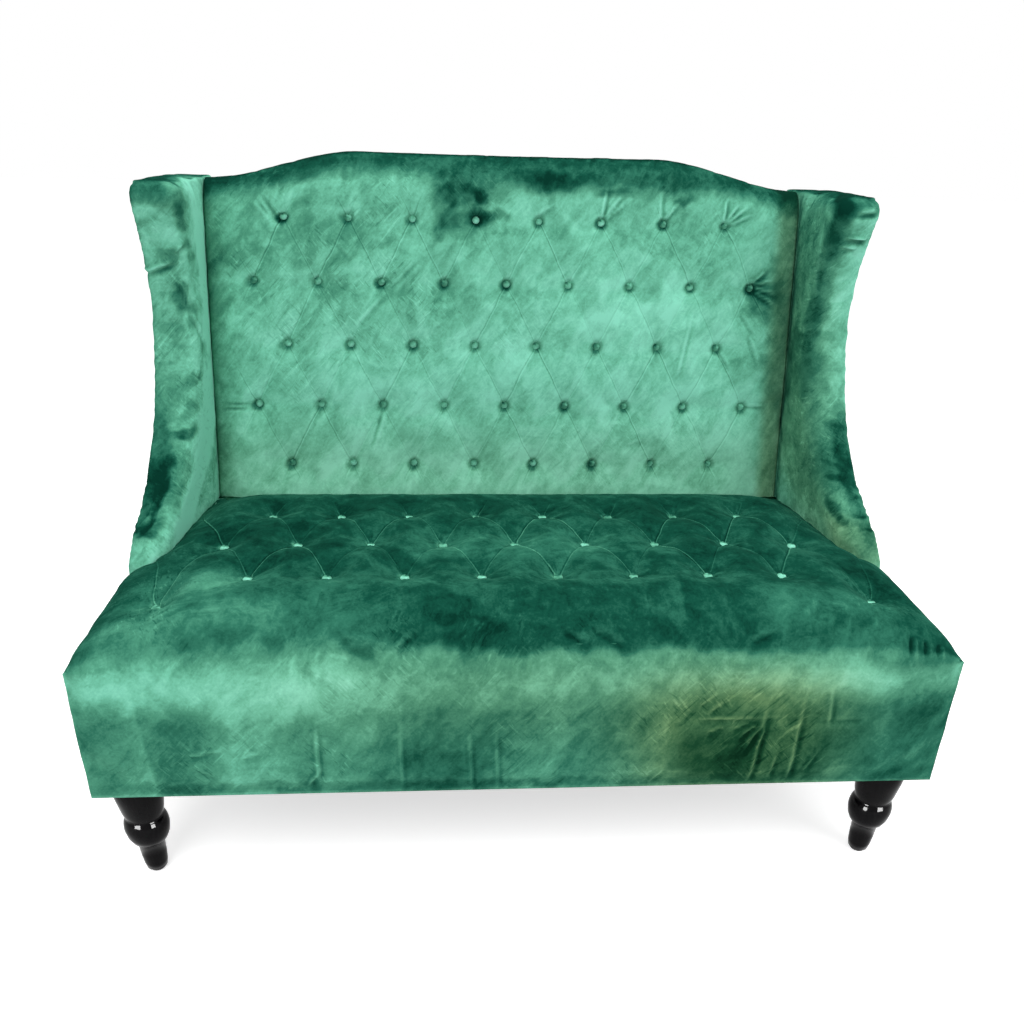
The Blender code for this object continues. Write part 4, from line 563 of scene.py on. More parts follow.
def seat_top(across, depth):
    """Height of the seat without its tufts."""
    front = round_over(depth / SEAT_ROLL_DEPTH)
    side = round_over((SEAT_HALF - np.abs(across)) / SEAT_SIDE_FALL)
    free_z = SEAT_EDGE_Z + (SEAT_CROWN_Z - SEAT_EDGE_Z) * front * side
    to_wing = 1 - np.clip((wing_inner_half(depth) - np.abs(across)) / SEAT_WING_FALL, 0, 1)
    to_back = 1 - np.clip((SEAT_REAR_DEPTH - depth) / SEAT_BACK_FALL, 0, 1)
    fall = np.hypot(SEAT_WING_DROP * to_wing ** 1.6,
                    (SEAT_CROWN_Z - SEAT_REAR_EDGE_Z) * to_back ** 1.5)
    held_z = SEAT_CROWN_Z - np.minimum(fall, SEAT_MOST_DROP)
    return free_z + (held_z - free_z) * smooth_step((depth - SEAT_EAR_DEPTH) / 0.07)


def seat_blank():
    """The seat's open cover, with the plan in x and y and the skirt's rows in z."""
    columns = 2 * SEAT_MIDDLE_COLUMN
    bm = cell_grid(columns, len(SEAT_ROWS) - 1)
    ears = [
        face for face in bm.faces
        if abs(face.calc_center_median().x - SEAT_MIDDLE_COLUMN) > SEAT_EAR_COLUMN
        and face.calc_center_median().y > SEAT_EAR_ROW
    ]
    bmesh.ops.delete(bm, geom=ears, context="FACES")

    def on_skirt(vertex):
        """Whether a vertex is on the free edge of the seat's top."""
        column = abs(vertex.co.x - SEAT_MIDDLE_COLUMN)
        at_ear = vertex.co.y == SEAT_EAR_ROW and column >= SEAT_EAR_COLUMN
        at_side = column == SEAT_MIDDLE_COLUMN and vertex.co.y <= SEAT_EAR_ROW
        return vertex.co.y == 0 or at_side or at_ear

    rim = [
        edge for edge in bm.edges
        if edge.is_boundary and all(on_skirt(vertex) for vertex in edge.verts)
    ]
    for row in range(1, SKIRT_ROWS + 1):
        fresh, rim = extrude_rim(bm, rim)
        for vertex in fresh:
            vertex.co.z = -row
    return bm


def seat_place(across, depth, drop):
    """Place of a point of the cover; drop runs from 0 to 1 down the skirt."""
    half = wing_inner_half(depth)
    core = 4.5 * SEAT_BUTTON_SPACING
    squeeze = (half - core) / (WING_FRONT_HALF - core)
    size = np.abs(across)
    held = np.where((depth > SEAT_EAR_DEPTH) & (size > core), core + (size - core) * squeeze, size)
    x = np.sign(across) * held
    z = seat_top(x, depth)
    z = z + drop * (SEAT_BOTTOM_Z - z)
    x = x - np.sign(x) * SEAT_FOOT_INSET * drop * smooth_step((size - WING_FRONT_HALF) / 0.05)
    return np.stack([x, FRONT_Y + depth, z], axis=1)


def make_seat():
    """The seat's cover over top, front and ears."""
    seat = make_piece("seat_upholstery", seat_blank())
    mesh = seat.data
    cells = points_of(mesh)
    across = np.interp(cells[:, 0], np.arange(len(SEAT_COLUMNS)), SEAT_COLUMNS)
    depth = np.interp(cells[:, 1], np.arange(len(SEAT_ROWS)), SEAT_ROWS)
    drop = -cells[:, 2] / SKIRT_ROWS
    mark(mesh, "across", across)
    mark(mesh, "along", depth)
    mark(mesh, "drop", drop)
    set_points(mesh, seat_place(across, depth, drop))
    places = points_of(mesh)
    shifted = depth + SEAT_END_SHIFT * seat_end_share(across, depth)
    broad = tufts(across, shifted, SEAT_BUTTONS, SEAT_PITCH, {**SEAT_LOOK, **BROAD})[0]
    places[:, 2] -= broad * (drop <= 0)
    set_points(mesh, places)
    held = near_buttons(across, shifted, SEAT_BUTTONS, BUTTON_HOLD) * (drop <= 0)
    edge = (drop > 0.93) | (depth > SEAT_REAR_DEPTH - 0.02)
    edge |= (depth >= SEAT_EAR_DEPTH - 0.001) & (wing_inner_half(depth) - np.abs(places[:, 0]) < 0.006)
    edge |= (depth <= 0) & (np.abs(across) > SEAT_HALF - 0.004)
    settle(seat, np.maximum(held, edge), SEAT_PRESSURE, 0.010, 0.008)
    subdivide(seat)
    mesh = seat.data
    across, depth, drop = (marks(mesh, name) for name in ("across", "along", "drop"))
    places = points_of(mesh)
    outwards = normals_of(mesh)
    on_top = drop <= 0
    sunk = np.zeros(len(places))
    shifted = depth + SEAT_END_SHIFT * seat_end_share(across, depth)
    tufted, painted_hole_shade = np.zeros(len(places)), np.zeros(len(places))
    sunk[on_top], tufted[on_top], painted_hole_shade[on_top] = tufts(
        across[on_top], shifted[on_top], SEAT_BUTTONS, SEAT_PITCH, {**SEAT_LOOK, **FINE}
    )
    mark(mesh, "tuft_x", across)
    mark(mesh, "tuft_y", shifted)
    mark(mesh, "tufted", tufted)
    height = places[:, 2]
    pressed = creases(SEAT_CREASES, across, depth) * on_top
    pressed += creases(APRON_CREASES, across, height) * (depth <= 0)
    sunk += pressed
    soft = wobble(places, 9.0, 3.1) * 0.0022 + wobble(places, 27.0, 8.4) * 0.0009
    rim = smooth_step((height - SEAT_BOTTOM_Z) / 0.02) * smooth_step((SEAT_REAR_DEPTH - depth) / 0.03)
    inwards = smooth_step(np.minimum(depth, SEAT_HALF - np.abs(across)) / 0.05)
    sunk = sunk - soft * rim - 0.002 * on_top * rim * inwards
    set_points(mesh, places - outwards * sunk[:, None])
    mark_seat_nap_and_shade(mesh, places, across, depth, drop)
    # Painted highlight round the seat buttons' holes, a little painted shadow in them, and painted shade in
    # the creases' grooves with painted light on their ridges.
    gleam = painted_hole_shade * np.clip(0.45 + 1.3 * wobble(places, 110.0, 3.9), 0, 1)
    mark(mesh, "nap_and_painted_shade", marks(mesh, "nap_and_painted_shade") + 0.50 * gleam - 0.10 * painted_hole_shade - 50 * pressed)
    close_seat(seat)
    return seat


def seat_end_share(across, depth):
    """How far the outermost buttons of the front row drag the pattern forwards."""
    outer = smooth_step((np.abs(across) - 0.435) / 0.1)
    return outer * (1 - smooth_step((depth - 0.11) / 0.15))


def mark_seat_nap_and_shade(mesh, places, across, depth, drop):
    """Brush the nap of the seat and paint its shade: painted shade over the top, and bands down the front
    that darken towards the bottom.
    """
    height = places[:, 2]
    facing = normals_of(mesh)
    ragged = wobble(places * (1.0, 1.0, 0.5), 22.0, 1.7) + 0.6 * wobble(places, 60.0, 5.2)
    climb = np.degrees(np.arccos(np.clip(1 - depth / SEAT_ROLL_DEPTH, 0, 1)))
    climb = np.where(drop > 0, -10, climb)
    # Painted shade over the top: it takes away the painted light that the cover would get where it faces
    # forwards.
    forwards = 0.72 * np.abs(facing[:, 0]) + 0.16 * facing[:, 0] - 1.25 * facing[:, 1]
    painted_lit = smooth_step((forwards - 0.06) / 0.72)
    softer = smooth_step((-across - 0.05) / 0.2)
    painted_dark_top = smooth_step((climb - 17 + 7 * ragged) / (14 + 20 * softer))
    nap_and_painted_shade = -0.50 * painted_dark_top * painted_lit
    nap_and_painted_shade += brushed(SEAT_BRUSHED, across, depth, 0.7) * (drop <= 0) * painted_dark_top
    # The bands darken towards the bottom of the front.
    down = smooth_step((SEAT_EDGE_Z - 0.012 - height + 0.008 * ragged) / 0.07)
    slanted = across + 0.13 * (height - 0.356) * (across < -0.5)
    bands = np.interp(slanted, *zip(*APRON_BANDS))
    nap_and_painted_shade += (bands * (0.30 + 0.70 * down)) * (1 - painted_dark_top)
    ripple = 0.008 * ragged
    on_front = 1 - smooth_step(depth / 0.02)
    nap_and_painted_shade += brushed(APRON_BRUSHED, across + ripple, height + ripple, 0.45) * on_front
    mark(mesh, "nap_and_painted_shade", nap_and_painted_shade)
    olive = oval(across + ripple, height + ripple, (0.32, 0.27), (0.15, 0.10), 0.7)
    olive += 0.28 * oval(across, height, (0.10, 0.36), (0.40, 0.08), 0.8)
    mark(mesh, "olive", olive * (1 - painted_dark_top))
    worn = 0.25 + 0.75 * oval(across, height, (0.32, 0.27), (0.18, 0.10), 0.5) * (drop > 0)
    worn += 0.6 * oval(across, height, (-0.38, 0.23), (0.20, 0.05), 0.6) * (drop > 0)
    worn += 0.6 * oval(across, depth, (-0.56, 0.10), (0.09, 0.16), 0.6) * (drop <= 0)
    worn += 0.4 * oval(across, depth, (0.56, 0.10), (0.09, 0.12), 0.6) * (drop <= 0)
    worn += 0.5 * oval(across, depth, (-0.10, 0.02), (0.20, 0.03), 0.6)
    mark(mesh, "worn", worn)


def close_seat(seat):
    """Turn the skirt in under the rails and close the cover inside."""
    bm = bmesh.new()
    bm.from_mesh(seat.data)
    drop = bm.verts.layers.float["drop"]
    rim = [
        edge for edge in bm.edges
        if edge.is_boundary and all(vertex[drop] > 0.999 for vertex in edge.verts)
    ]
    turned_in = []
    for inset in (True, False):
        fresh, rim = extrude_rim(bm, rim)
        turned_in += fresh
        for vertex in fresh:
            if inset:
                vertex.co.x = max(-RAIL_HALF, min(RAIL_HALF, vertex.co.x))
                vertex.co.y = max(vertex.co.y, FRONT_Y + RAIL_SETBACK)
                vertex.co.y = min(vertex.co.y, FRONT_Y + SEAT_EAR_DEPTH - RAIL_SETBACK)
            else:
                top = float(seat_top(np.array(vertex.co.x), np.array(vertex.co.y - FRONT_Y)))
                vertex.co.z = min(SEAT_REAR_EDGE_Z - 0.0005, top - 0.012)
    bmesh.ops.remove_doubles(bm, verts=turned_in, dist=0.0002)
    ear_end_y = FRONT_Y + SEAT_EAR_DEPTH
    for side in (-1, 1):
        slot = [
            vertex for vertex in bm.verts
            if vertex.is_boundary and abs(vertex.co.x - side * WING_FRONT_HALF) < 0.0006
            and vertex.co.y < ear_end_y + 0.0006 and vertex.co.y > ear_end_y - 0.03
        ]
        outer = sorted((v for v in slot if v.co.y > ear_end_y - 0.001), key=lambda v: -v.co.z)
        inner = sorted((v for v in slot if v.co.y <= ear_end_y - 0.001), key=lambda v: v.co.z)
        bm.faces.new(outer + inner)
    rim = [vertex for vertex in bm.verts if vertex.is_boundary]
    bmesh.ops.remove_doubles(bm, verts=rim, dist=0.0007)
    close_cover(bm, seat.data)


# Back

BACK_HALF_COLUMNS = spaced(0, 8 * CELLS_PER_PITCH, 4 * BACK_BUTTON_SPACING, 14, BACK_HALF)
BACK_COLUMNS = np.array([-across for across in BACK_HALF_COLUMNS[:0:-1]] + BACK_HALF_COLUMNS)
BACK_TOP_ROW = BACK_FIRST_ROW + 4 * BACK_ROW_STEP
BACK_ROWS = np.array(spaced(-0.05, 8, BACK_FIRST_ROW, 48, BACK_TOP_ROW, 5, 1.0, 12, 2.0, 8, 3.0))


def back_front(across):
    """How far the back's front lies rearwards of its button plane."""
    to_wing = (BACK_HALF - np.abs(across)) / BACK_ROLL_HEIGHT
    return -BACK_CREST + BACK_SIDE_FALL * (1 - round_over(to_wing))


def back_place(across, along):
    """Place of a point of the cover in the reclined back: along is the rise
    up to the top buttons, then runs to 1 below the roll, 2 at the crest and
    3 at the rear edge."""
    top = camel_rise(across)
    start = top - BACK_ROLL_HEIGHT
    front = back_front(across)
    share = (along - BACK_FIRST_ROW) / (BACK_TOP_ROW - BACK_FIRST_ROW)
    low = along + np.clip(share, 0, 1) * np.minimum(start - 0.012 - BACK_TOP_ROW, 0)
    last = BACK_TOP_ROW + np.minimum(start - 0.012 - BACK_TOP_ROW, 0)
    middle_share = np.clip((along - BACK_TOP_ROW) / (1 - BACK_TOP_ROW), 0, 1)
    rise = np.where(along <= BACK_TOP_ROW, low, last + middle_share * (start - last))
    rearwards = front.copy()
    angle = np.clip(along - 1, 0, 1) * math.pi / 2
    over = along > 1
    rise = np.where(over, start + BACK_ROLL_HEIGHT * np.sin(angle), rise)
    rearwards = np.where(over, front + (BACK_ROLL_CREST - front) * (1 - np.cos(angle)), rearwards)
    behind = np.clip(along - 2, 0, 1)
    rearwards = rearwards + behind * (BACK_COVER_REAR - 0.008 - BACK_ROLL_CREST)
    rise = rise - BACK_ROLL_REAR_DROP * behind ** 2
    return np.stack([across, rearwards, rise], axis=1)


def tilted(places):
    """Turn places in the reclined back's own frame into the sofa's."""
    turn = np.array(TILT.to_3x3())
    return places @ turn.T + np.array(TILT.translation)


def mark_back_nap_and_shade(mesh, places, across, along, painted_hole_shade):
    """Brush the nap of the back and paint its shade: painted shade in a band along the top and in the button
    holes, painted light low down, and darker patches.
    """
    rise = places[:, 2]
    ragged = wobble(places, 24.0, 4.4) + 0.6 * wobble(places, 70.0, 9.1)
    start = 1.02 - 0.30 * smooth_step((across + 0.02) / 0.10) * smooth_step((0.42 - across) / 0.1)
    # Painted shade in a band along the top roll, where it turns up.
    nap_and_painted_shade = -0.16 * smooth_step((along - 1.25 + 0.05 * ragged) / 0.35)
    nap_and_painted_shade -= 0.24 * smooth_step((along - start + 0.10 * ragged) / 0.35)
    # Darker at both ends, most at the right.
    nap_and_painted_shade -= 0.26 * smooth_step((across - 0.492 + 0.012 * ragged) / 0.04) * smooth_step((rise + 0.1) / 0.15)
    nap_and_painted_shade -= 0.12 * smooth_step((-across - 0.515 + 0.010 * ragged) / 0.03)
    # Painted light low down, against the shade of the seat and the wings, and painted shadow in the button
    # holes.
    nap_and_painted_shade += 0.11 * (1 - smooth_step(rise / 0.28))
    nap_and_painted_shade -= 0.58 * painted_hole_shade
    ripple = 0.010 * ragged
    nap_and_painted_shade += brushed(BACK_BRUSHED, across + ripple, rise + ripple, 0.45) * (1 + 0.5 * ragged)
    mark(mesh, "nap_and_painted_shade", nap_and_painted_shade)
    olive = 0.38 * smooth_step((across - 0.50) / 0.03)
    mark(mesh, "olive", olive + 0.15 * (1 - smooth_step(rise / 0.2)))
    worn = 0.35 + 0.5 * oval(across, rise, (-0.30, 0.42), (0.26, 0.20), 0.6)
    worn += 0.4 * oval(across, rise, (0.34, 0.52), (0.20, 0.06), 0.5)
    mark(mesh, "worn", worn)


BACK_LOOK = {
    "pillow": 0.0026, "roundness": 2.2, "fold": 0.0012, "fold_width": 0.0034,
    "wide": 0.0035, "wide_radius": 0.034, "hole": 0.0115, "hole_radius": 0.0115,
    "rays": 0.0008, "seed": 1.0,
}
# Creases in the back: start, end, half width, depth, as (across, rise)
BACK_CREASES = (
    ((-0.418, 0.492), (-0.455, 0.548), 0.0036, 0.0042), ((-0.425, 0.493), (-0.466, 0.540), 0.0032, 0.0030),
    ((-0.169, 0.427), (-0.227, 0.368), 0.0030, 0.0018), ((-0.277, 0.310), (-0.222, 0.372), 0.0030, 0.0018),
    ((-0.492, 0.151), (-0.545, 0.149), 0.0026, 0.0030), ((-0.488, 0.157), (-0.541, 0.160), 0.0024, 0.0024),
    ((-0.240, 0.140), (-0.264, 0.065), 0.0032, 0.0020), ((0.061, 0.515), (0.090, 0.533), 0.0028, 0.0026),
    ((0.180, 0.508), (0.187, 0.570), 0.0030, 0.0036), ((0.184, 0.510), (0.219, 0.556), 0.0030, 0.0034),
    ((0.188, 0.508), (0.230, 0.545), 0.0028, 0.0030), ((0.299, 0.509), (0.325, 0.542), 0.0028, 0.0034),
    ((0.292, 0.512), (0.289, 0.563), 0.0030, 0.0030), ((0.413, 0.512), (0.416, 0.560), 0.0028, 0.0034),
    ((0.417, 0.510), (0.441, 0.544), 0.0026, 0.0036), ((0.420, 0.507), (0.455, 0.536), 0.0026, 0.0034),
    ((0.422, 0.502), (0.468, 0.524), 0.0026, 0.0030), ((0.476, 0.391), (0.516, 0.402), 0.0028, 0.0044),
    ((0.476, 0.386), (0.524, 0.374), 0.0030, 0.0048), ((0.474, 0.381), (0.520, 0.352), 0.0030, 0.0042),
    ((0.474, 0.394), (0.503, 0.422), 0.0028, 0.0036), ((0.478, 0.160), (0.520, 0.158), 0.0026, 0.0032),
    ((0.415, 0.268), (0.437, 0.232), 0.0028, 0.0030), ((0.342, 0.225), (0.366, 0.355), 0.0032, 0.0016),
    ((0.467, 0.300), (0.494, 0.236), 0.0032, 0.0024), ((0.452, 0.340), (0.486, 0.290), 0.0030, 0.0016),
    ((-0.330, 0.468), (-0.285, 0.420), 0.0030, 0.0014), ((0.240, 0.080), (0.300, 0.096), 0.0028, 0.0012),
)
# Brushed patches of the back: middle, reach, shade
BACK_BRUSHED = (
    ((-0.095, 0.535), (0.046, 0.055), -0.36), ((-0.065, 0.550), (0.060, 0.020), -0.22),
    ((-0.055, 0.505), (0.022, 0.014), -0.42), ((-0.020, 0.512), (0.024, 0.010), -0.24),
    ((-0.050, 0.545), (0.012, 0.012), -0.34),
    ((0.060, 0.575), (0.090, 0.016), -0.22), ((0.199, 0.556), (0.034, 0.007), -0.30),
    ((0.330, 0.548), (0.020, 0.006), -0.24), ((0.240, 0.580), (0.180, 0.014), -0.14),
    ((-0.420, 0.470), (0.130, 0.070), -0.12), ((-0.250, 0.500), (0.100, 0.050), -0.06),
    ((0.300, 0.240), (0.150, 0.140), 0.12), ((0.060, 0.330), (0.160, 0.080), 0.07),
    ((0.285, 0.092), (0.045, 0.012), -0.10), ((-0.180, 0.360), (0.160, 0.050), -0.04),
    ((0.500, 0.390), (0.030, 0.040), -0.20), ((-0.150, 0.200), (0.300, 0.090), 0.06),
)


def tuft_rise(along):
    """Place on the lattice of the back's buttons, which goes on slowly over the roll."""
    return np.where(along <= BACK_TOP_ROW, along, BACK_TOP_ROW + (along - BACK_TOP_ROW) * 0.12)


def make_back():
    """The back's cover, with the roll over its top."""
    back = make_piece("back_upholstery", cell_grid(len(BACK_COLUMNS) - 1, len(BACK_ROWS) - 1))
    mesh = back.data
    cells = points_of(mesh)
    across = np.interp(cells[:, 0], np.arange(len(BACK_COLUMNS)), BACK_COLUMNS)
    along = np.interp(cells[:, 1], np.arange(len(BACK_ROWS)), BACK_ROWS)
    mark(mesh, "across", across)
    mark(mesh, "along", along)
    places = back_place(across, along)
    rise = tuft_rise(along)
    places[:, 1] += tufts(across, rise, BACK_BUTTONS, BACK_PITCH, {**BACK_LOOK, **BROAD})[0]
    set_points(mesh, places)
    flip_faces(mesh)
    held = near_buttons(across, rise, BACK_BUTTONS, BUTTON_HOLD)
    edge = (np.abs(across) > BACK_HALF - 0.006) | (along < -0.04) | (along > 2.5)
    settle(back, np.maximum(held, edge), BACK_PRESSURE, 0.010, 0.006)
    subdivide(back)
    mesh = back.data
    across, along = marks(mesh, "across"), marks(mesh, "along")
    places = points_of(mesh)
    rise = tuft_rise(along)
    sunk, tufted, painted_hole_shade = tufts(across, rise, BACK_BUTTONS, BACK_PITCH, {**BACK_LOOK, **FINE})
    mark(mesh, "tuft_x", across)
    mark(mesh, "tuft_y", rise)
    mark(mesh, "tufted", tufted)
    pressed = creases(BACK_CREASES, across, places[:, 2])
    sunk += pressed
    soft = wobble(places, 8.0, 6.3) * 0.0020 + wobble(places, 26.0, 2.9) * 0.0008
    sunk = (sunk - soft - 0.001) * (1 - smooth_step(along - 1.2))
    mark_back_nap_and_shade(mesh, places, across, along, painted_hole_shade)
    # Painted shade in the creases' grooves and painted light on their ridges.
    mark(mesh, "nap_and_painted_shade", marks(mesh, "nap_and_painted_shade") - 60 * pressed)
    places[:, 1] += sunk
    set_points(mesh, tilted(places))
    close_back(back)
    return back


def close_back(back):
    """Close the back's cover inside: under its roll, down behind it and at its ends."""
    bm = bmesh.new()
    bm.from_mesh(back.data)
    along = bm.verts.layers.float["along"]
    rim = [
        edge for edge in bm.edges
        if edge.is_boundary and all(vertex[along] > 2.999 for vertex in edge.verts)
    ]
    bottom = rise_at(BACK_WALL, SEAT_REAR_EDGE_Z - 0.03)
    for under_roll in (True, False):
        fresh, rim = extrude_rim(bm, rim)
        for vertex in fresh:
            low = float(camel_rise(np.array(vertex.co.x))) - BACK_ROLL_HEIGHT
            rise = low if under_roll else bottom
            vertex.co = TILT @ Vector((vertex.co.x, BACK_WALL, rise))
    low_rim = [
        edge for edge in bm.edges
        if edge.is_boundary and all(vertex[along] < BACK_ROWS[0] + 0.0001 for vertex in edge.verts)
    ]
    bmesh.ops.bridge_loops(bm, edges=rim + low_rim)
    close_cover(bm, back.data)


# Buttons

BUTTON_RADIUS = 0.0078
SEAT_BUTTON_SINK = 0.0182
BACK_BUTTON_SINK = 0.0015
OUTERMOST_BUTTON = 0.54


def add_button(bm, place, outwards):
    """A domed, cloth-covered button facing outwards."""
    turn = outwards.to_track_quat("Z", "Y").to_matrix().to_4x4()
    made = bmesh.ops.create_uvsphere(bm, u_segments=16, v_segments=8, radius=BUTTON_RADIUS)
    bmesh.ops.scale(bm, vec=(1, 1, 0.55), verts=made["verts"])
    bmesh.ops.transform(bm, matrix=Matrix.Translation(place) @ turn, verts=made["verts"])


def make_buttons(name, places, to_world, outwards, lifts):
    """The buttons of the seat or of the back, as one piece; lifts gives the
    darkest and the lightest of them, painted onto each button as its shade or highlight."""
    bm = bmesh.new()
    nap_and_painted_shade = bm.verts.layers.float.new("nap_and_painted_shade")
    for number, (across, along) in enumerate(places):
        luck = float(hashed(np.array(number), np.array(7), 2.0))
        before = len(bm.verts)
        add_button(bm, to_world(across, along), outwards)
        bm.verts.ensure_lookup_table()
        for vertex in bm.verts[before:]:
            vertex[nap_and_painted_shade] = lifts[0] + (lifts[1] - lifts[0]) * luck
    return make_piece(name, bm)


# Wings

WING_LOWER = (
    (0, 0), (0.03, 0.055), (0.12, 0.098), (0.278, 0.158), (0.49, 0.247), (0.658, 0.355),
    (0.836, 0.543), (0.907, 0.677), (0.989, 0.892), (1, 1),
)
WING_UPPER = ((0.275, 0.12), (0.6, 0.39), (0.825, 0.74))
WING_FOOT_Z = 0.440
WING_WAIST_Z = 0.820
WING_WAIST_REACH = 0.1045
WING_TOP_Z = 1.025
WING_TOP_REACH = 0.193
WING_TOP_CORNER = 0.030


def smooth_line(points, step):
    """A finer line through points, with its bends rounded."""
    places = np.array(points, float)
    knots = np.concatenate([[0], np.cumsum(np.linalg.norm(np.diff(places, axis=0), axis=1))])
    at = np.linspace(0, knots[-1], int(knots[-1] / step) + 1)
    fine = np.stack([np.interp(at, knots, places[:, axis]) for axis in (0, 1)], axis=1)
    for _ in range(8):
        fine[1:-1] = (fine[:-2] + 2 * fine[1:-1] + fine[2:]) / 4
    return [tuple(place) for place in fine]


def wing_outline(rearwards):
    """Front and top of a wing from its foot on, as (depth, height)."""
    foot = SEAT_EAR_DEPTH + 0.0003
    waist = lean_depth(0, WING_WAIST_Z) - WING_WAIST_REACH
    top_front = lean_depth(0, WING_TOP_Z) - WING_TOP_REACH
    points = [(foot, SEAT_BOTTOM_Z)]
    for along, up in WING_LOWER:
        points.append((foot + along * (waist - foot), WING_FOOT_Z + up * (WING_WAIST_Z - WING_FOOT_Z)))
    corner_z = WING_TOP_Z - WING_TOP_CORNER
    for up, along in WING_UPPER:
        points.append((waist + along * (top_front - waist), WING_WAIST_Z + up * (corner_z - WING_WAIST_Z)))
    points.append((top_front, corner_z))
    points = [points[0], *smooth_line(points[1:], 0.012)]
    for angle in spaced(0, 6, math.pi / 2)[1:]:
        points.append((
            top_front + WING_TOP_CORNER * (1 - math.cos(angle)),
            corner_z + WING_TOP_CORNER * math.sin(angle),
        ))
    points.append((lean_depth(rearwards, WING_TOP_Z), WING_TOP_Z))
    points.append((lean_depth(rearwards, SEAT_BOTTOM_Z), SEAT_BOTTOM_Z))
    return points


def make_wing(side, name):
    """A wing's padded cover: inner face, front border and outer rim."""
    loop = wing_outline(WING_REAR)
    bm = thick_outline(loop, 0, 1)
    for vertex in bm.verts:
        inner = float(wing_inner_half(np.array(vertex.co.y)))
        half = WING_RIM_HALF if vertex.co.x > 0.5 else inner
        vertex.co = (side * half, FRONT_Y + vertex.co.y, vertex.co.z)
    bmesh.ops.recalc_face_normals(bm, faces=bm.faces)
    inner_rim = [
        edge for edge in bm.edges
        if all(abs(vertex.co.x) < WING_RIM_HALF - 0.01 for vertex in edge.verts)
        and all(vertex.co.z > SEAT_BOTTOM_Z + 0.001 for vertex in edge.verts)
        and all(vertex.co.y < FRONT_Y + lean_depth(0.08, vertex.co.z) for vertex in edge.verts)
    ]
    bmesh.ops.bevel(bm, geom=inner_rim, offset=0.018, segments=5, profile=0.5, affect="EDGES",
                    material=-1)
    wing = make_piece(name, bm)
    remesh(wing, 0.008)
    bake_modifiers(wing)
    places = points_of(wing.data)
    behind = places[:, 1] > FRONT_Y + lean_depth(-0.012, places[:, 2])
    rim = smooth_step((np.abs(places[:, 0]) - WING_RIM_HALF + 0.016) / 0.015)
    fixed = (places[:, 2] < 0.36) | behind
    settle(wing, np.maximum(rim, fixed), WING_PRESSURE, 0.012, 0.005)
    subdivide(wing)
    dress_wing(wing, side)
    return wing


# Creases of the left and the right wing as (distance round the border and
# along the inner face, height): start, end, half width, depth
WING_CREASES = {
    -1: (
        ((0.006, 0.871), (0.060, 0.892), 0.0036, 0.0045), ((0.050, 0.856), (0.072, 0.800), 0.0040, 0.0030),
        ((0.066, 0.800), (0.120, 0.735), 0.0040, 0.0024), ((0.060, 0.905), (0.095, 0.925), 0.0034, 0.0026),
        ((0.012, 0.480), (0.040, 0.500), 0.0040, 0.0030), ((0.030, 0.500), (0.048, 0.550), 0.0044, 0.0028),
    ),
    1: (
        ((0.010, 1.000), (0.045, 0.997), 0.0036, 0.0060), ((0.012, 0.951), (0.052, 0.953), 0.0038, 0.0070),
        ((0.026, 0.934), (0.056, 0.939), 0.0034, 0.0036), ((0.002, 0.486), (0.050, 0.484), 0.0036, 0.0022),
        ((0.092, 0.930), (0.068, 0.850), 0.0050, 0.0020),
    ),
}
# Brushed patches of the wings, as (around, height): middle, reach, shade
WING_BRUSHED = {
    -1: (
        ((0.020, 1.008), (0.050, 0.016), -0.26), ((0.110, 0.985), (0.055, 0.035), -0.24),
        ((0.088, 0.965), (0.014, 0.022), -0.26), ((0.090, 0.925), (0.016, 0.012), -0.26),
        ((0.050, 0.900), (0.016, 0.014), -0.24), ((0.100, 0.900), (0.014, 0.008), -0.18),
        ((0.056, 0.835), (0.014, 0.026), -0.34), ((0.075, 0.795), (0.014, 0.022), -0.22),
        ((0.118, 0.735), (0.020, 0.018), -0.22), ((0.140, 0.705), (0.020, 0.018), -0.30),
        ((0.080, 0.688), (0.024, 0.008), -0.26), ((0.078, 0.640), (0.020, 0.016), -0.20),
        ((0.076, 0.603), (0.020, 0.009), -0.34), ((0.050, 0.600), (0.018, 0.006), -0.22),
        ((0.034, 0.540), (0.014, 0.022), -0.34), ((0.028, 0.508), (0.009, 0.016), -0.30),
        ((0.022, 0.484), (0.036, 0.007), -0.28), ((0.105, 0.530), (0.022, 0.026), -0.12),
        # The first patch below lightens the left wing's inner face: painted light.
        ((0.170, 0.680), (0.055, 0.330), 0.45), ((0.030, 0.456), (0.050, 0.022), 0.08),
        ((0.030, 0.900), (0.075, 0.100), -0.12), ((0.014, 0.560), (0.020, 0.080), -0.26),
        ((0.050, 0.650), (0.060, 0.120), -0.06), ((0.050, 0.520), (0.050, 0.050), -0.14),
    ),
    1: (
        ((0.020, 1.012), (0.060, 0.016), -0.20), ((0.074, 0.985), (0.026, 0.046), -0.36),
        ((0.150, 0.870), (0.110, 0.200), -0.17), ((0.110, 0.640), (0.060, 0.120), -0.10),
        ((0.062, 0.870), (0.018, 0.060), -0.22), ((0.078, 0.790), (0.020, 0.050), -0.22),
        ((0.110, 0.760), (0.020, 0.020), -0.20), ((0.180, 0.560), (0.110, 0.110), -0.14),
        ((0.010, 0.560), (0.024, 0.090), -0.32), ((0.050, 0.543), (0.018, 0.006), -0.22),
        ((0.080, 0.496), (0.022, 0.014), -0.34), ((0.035, 0.580), (0.035, 0.050), -0.14),
        ((0.030, 0.462), (0.060, 0.020), -0.10), ((0.016, 0.965), (0.030, 0.020), -0.14),
        ((0.034, 0.720), (0.030, 0.080), 0.01), ((0.055, 0.935), (0.020, 0.030), -0.16),
    ),
}


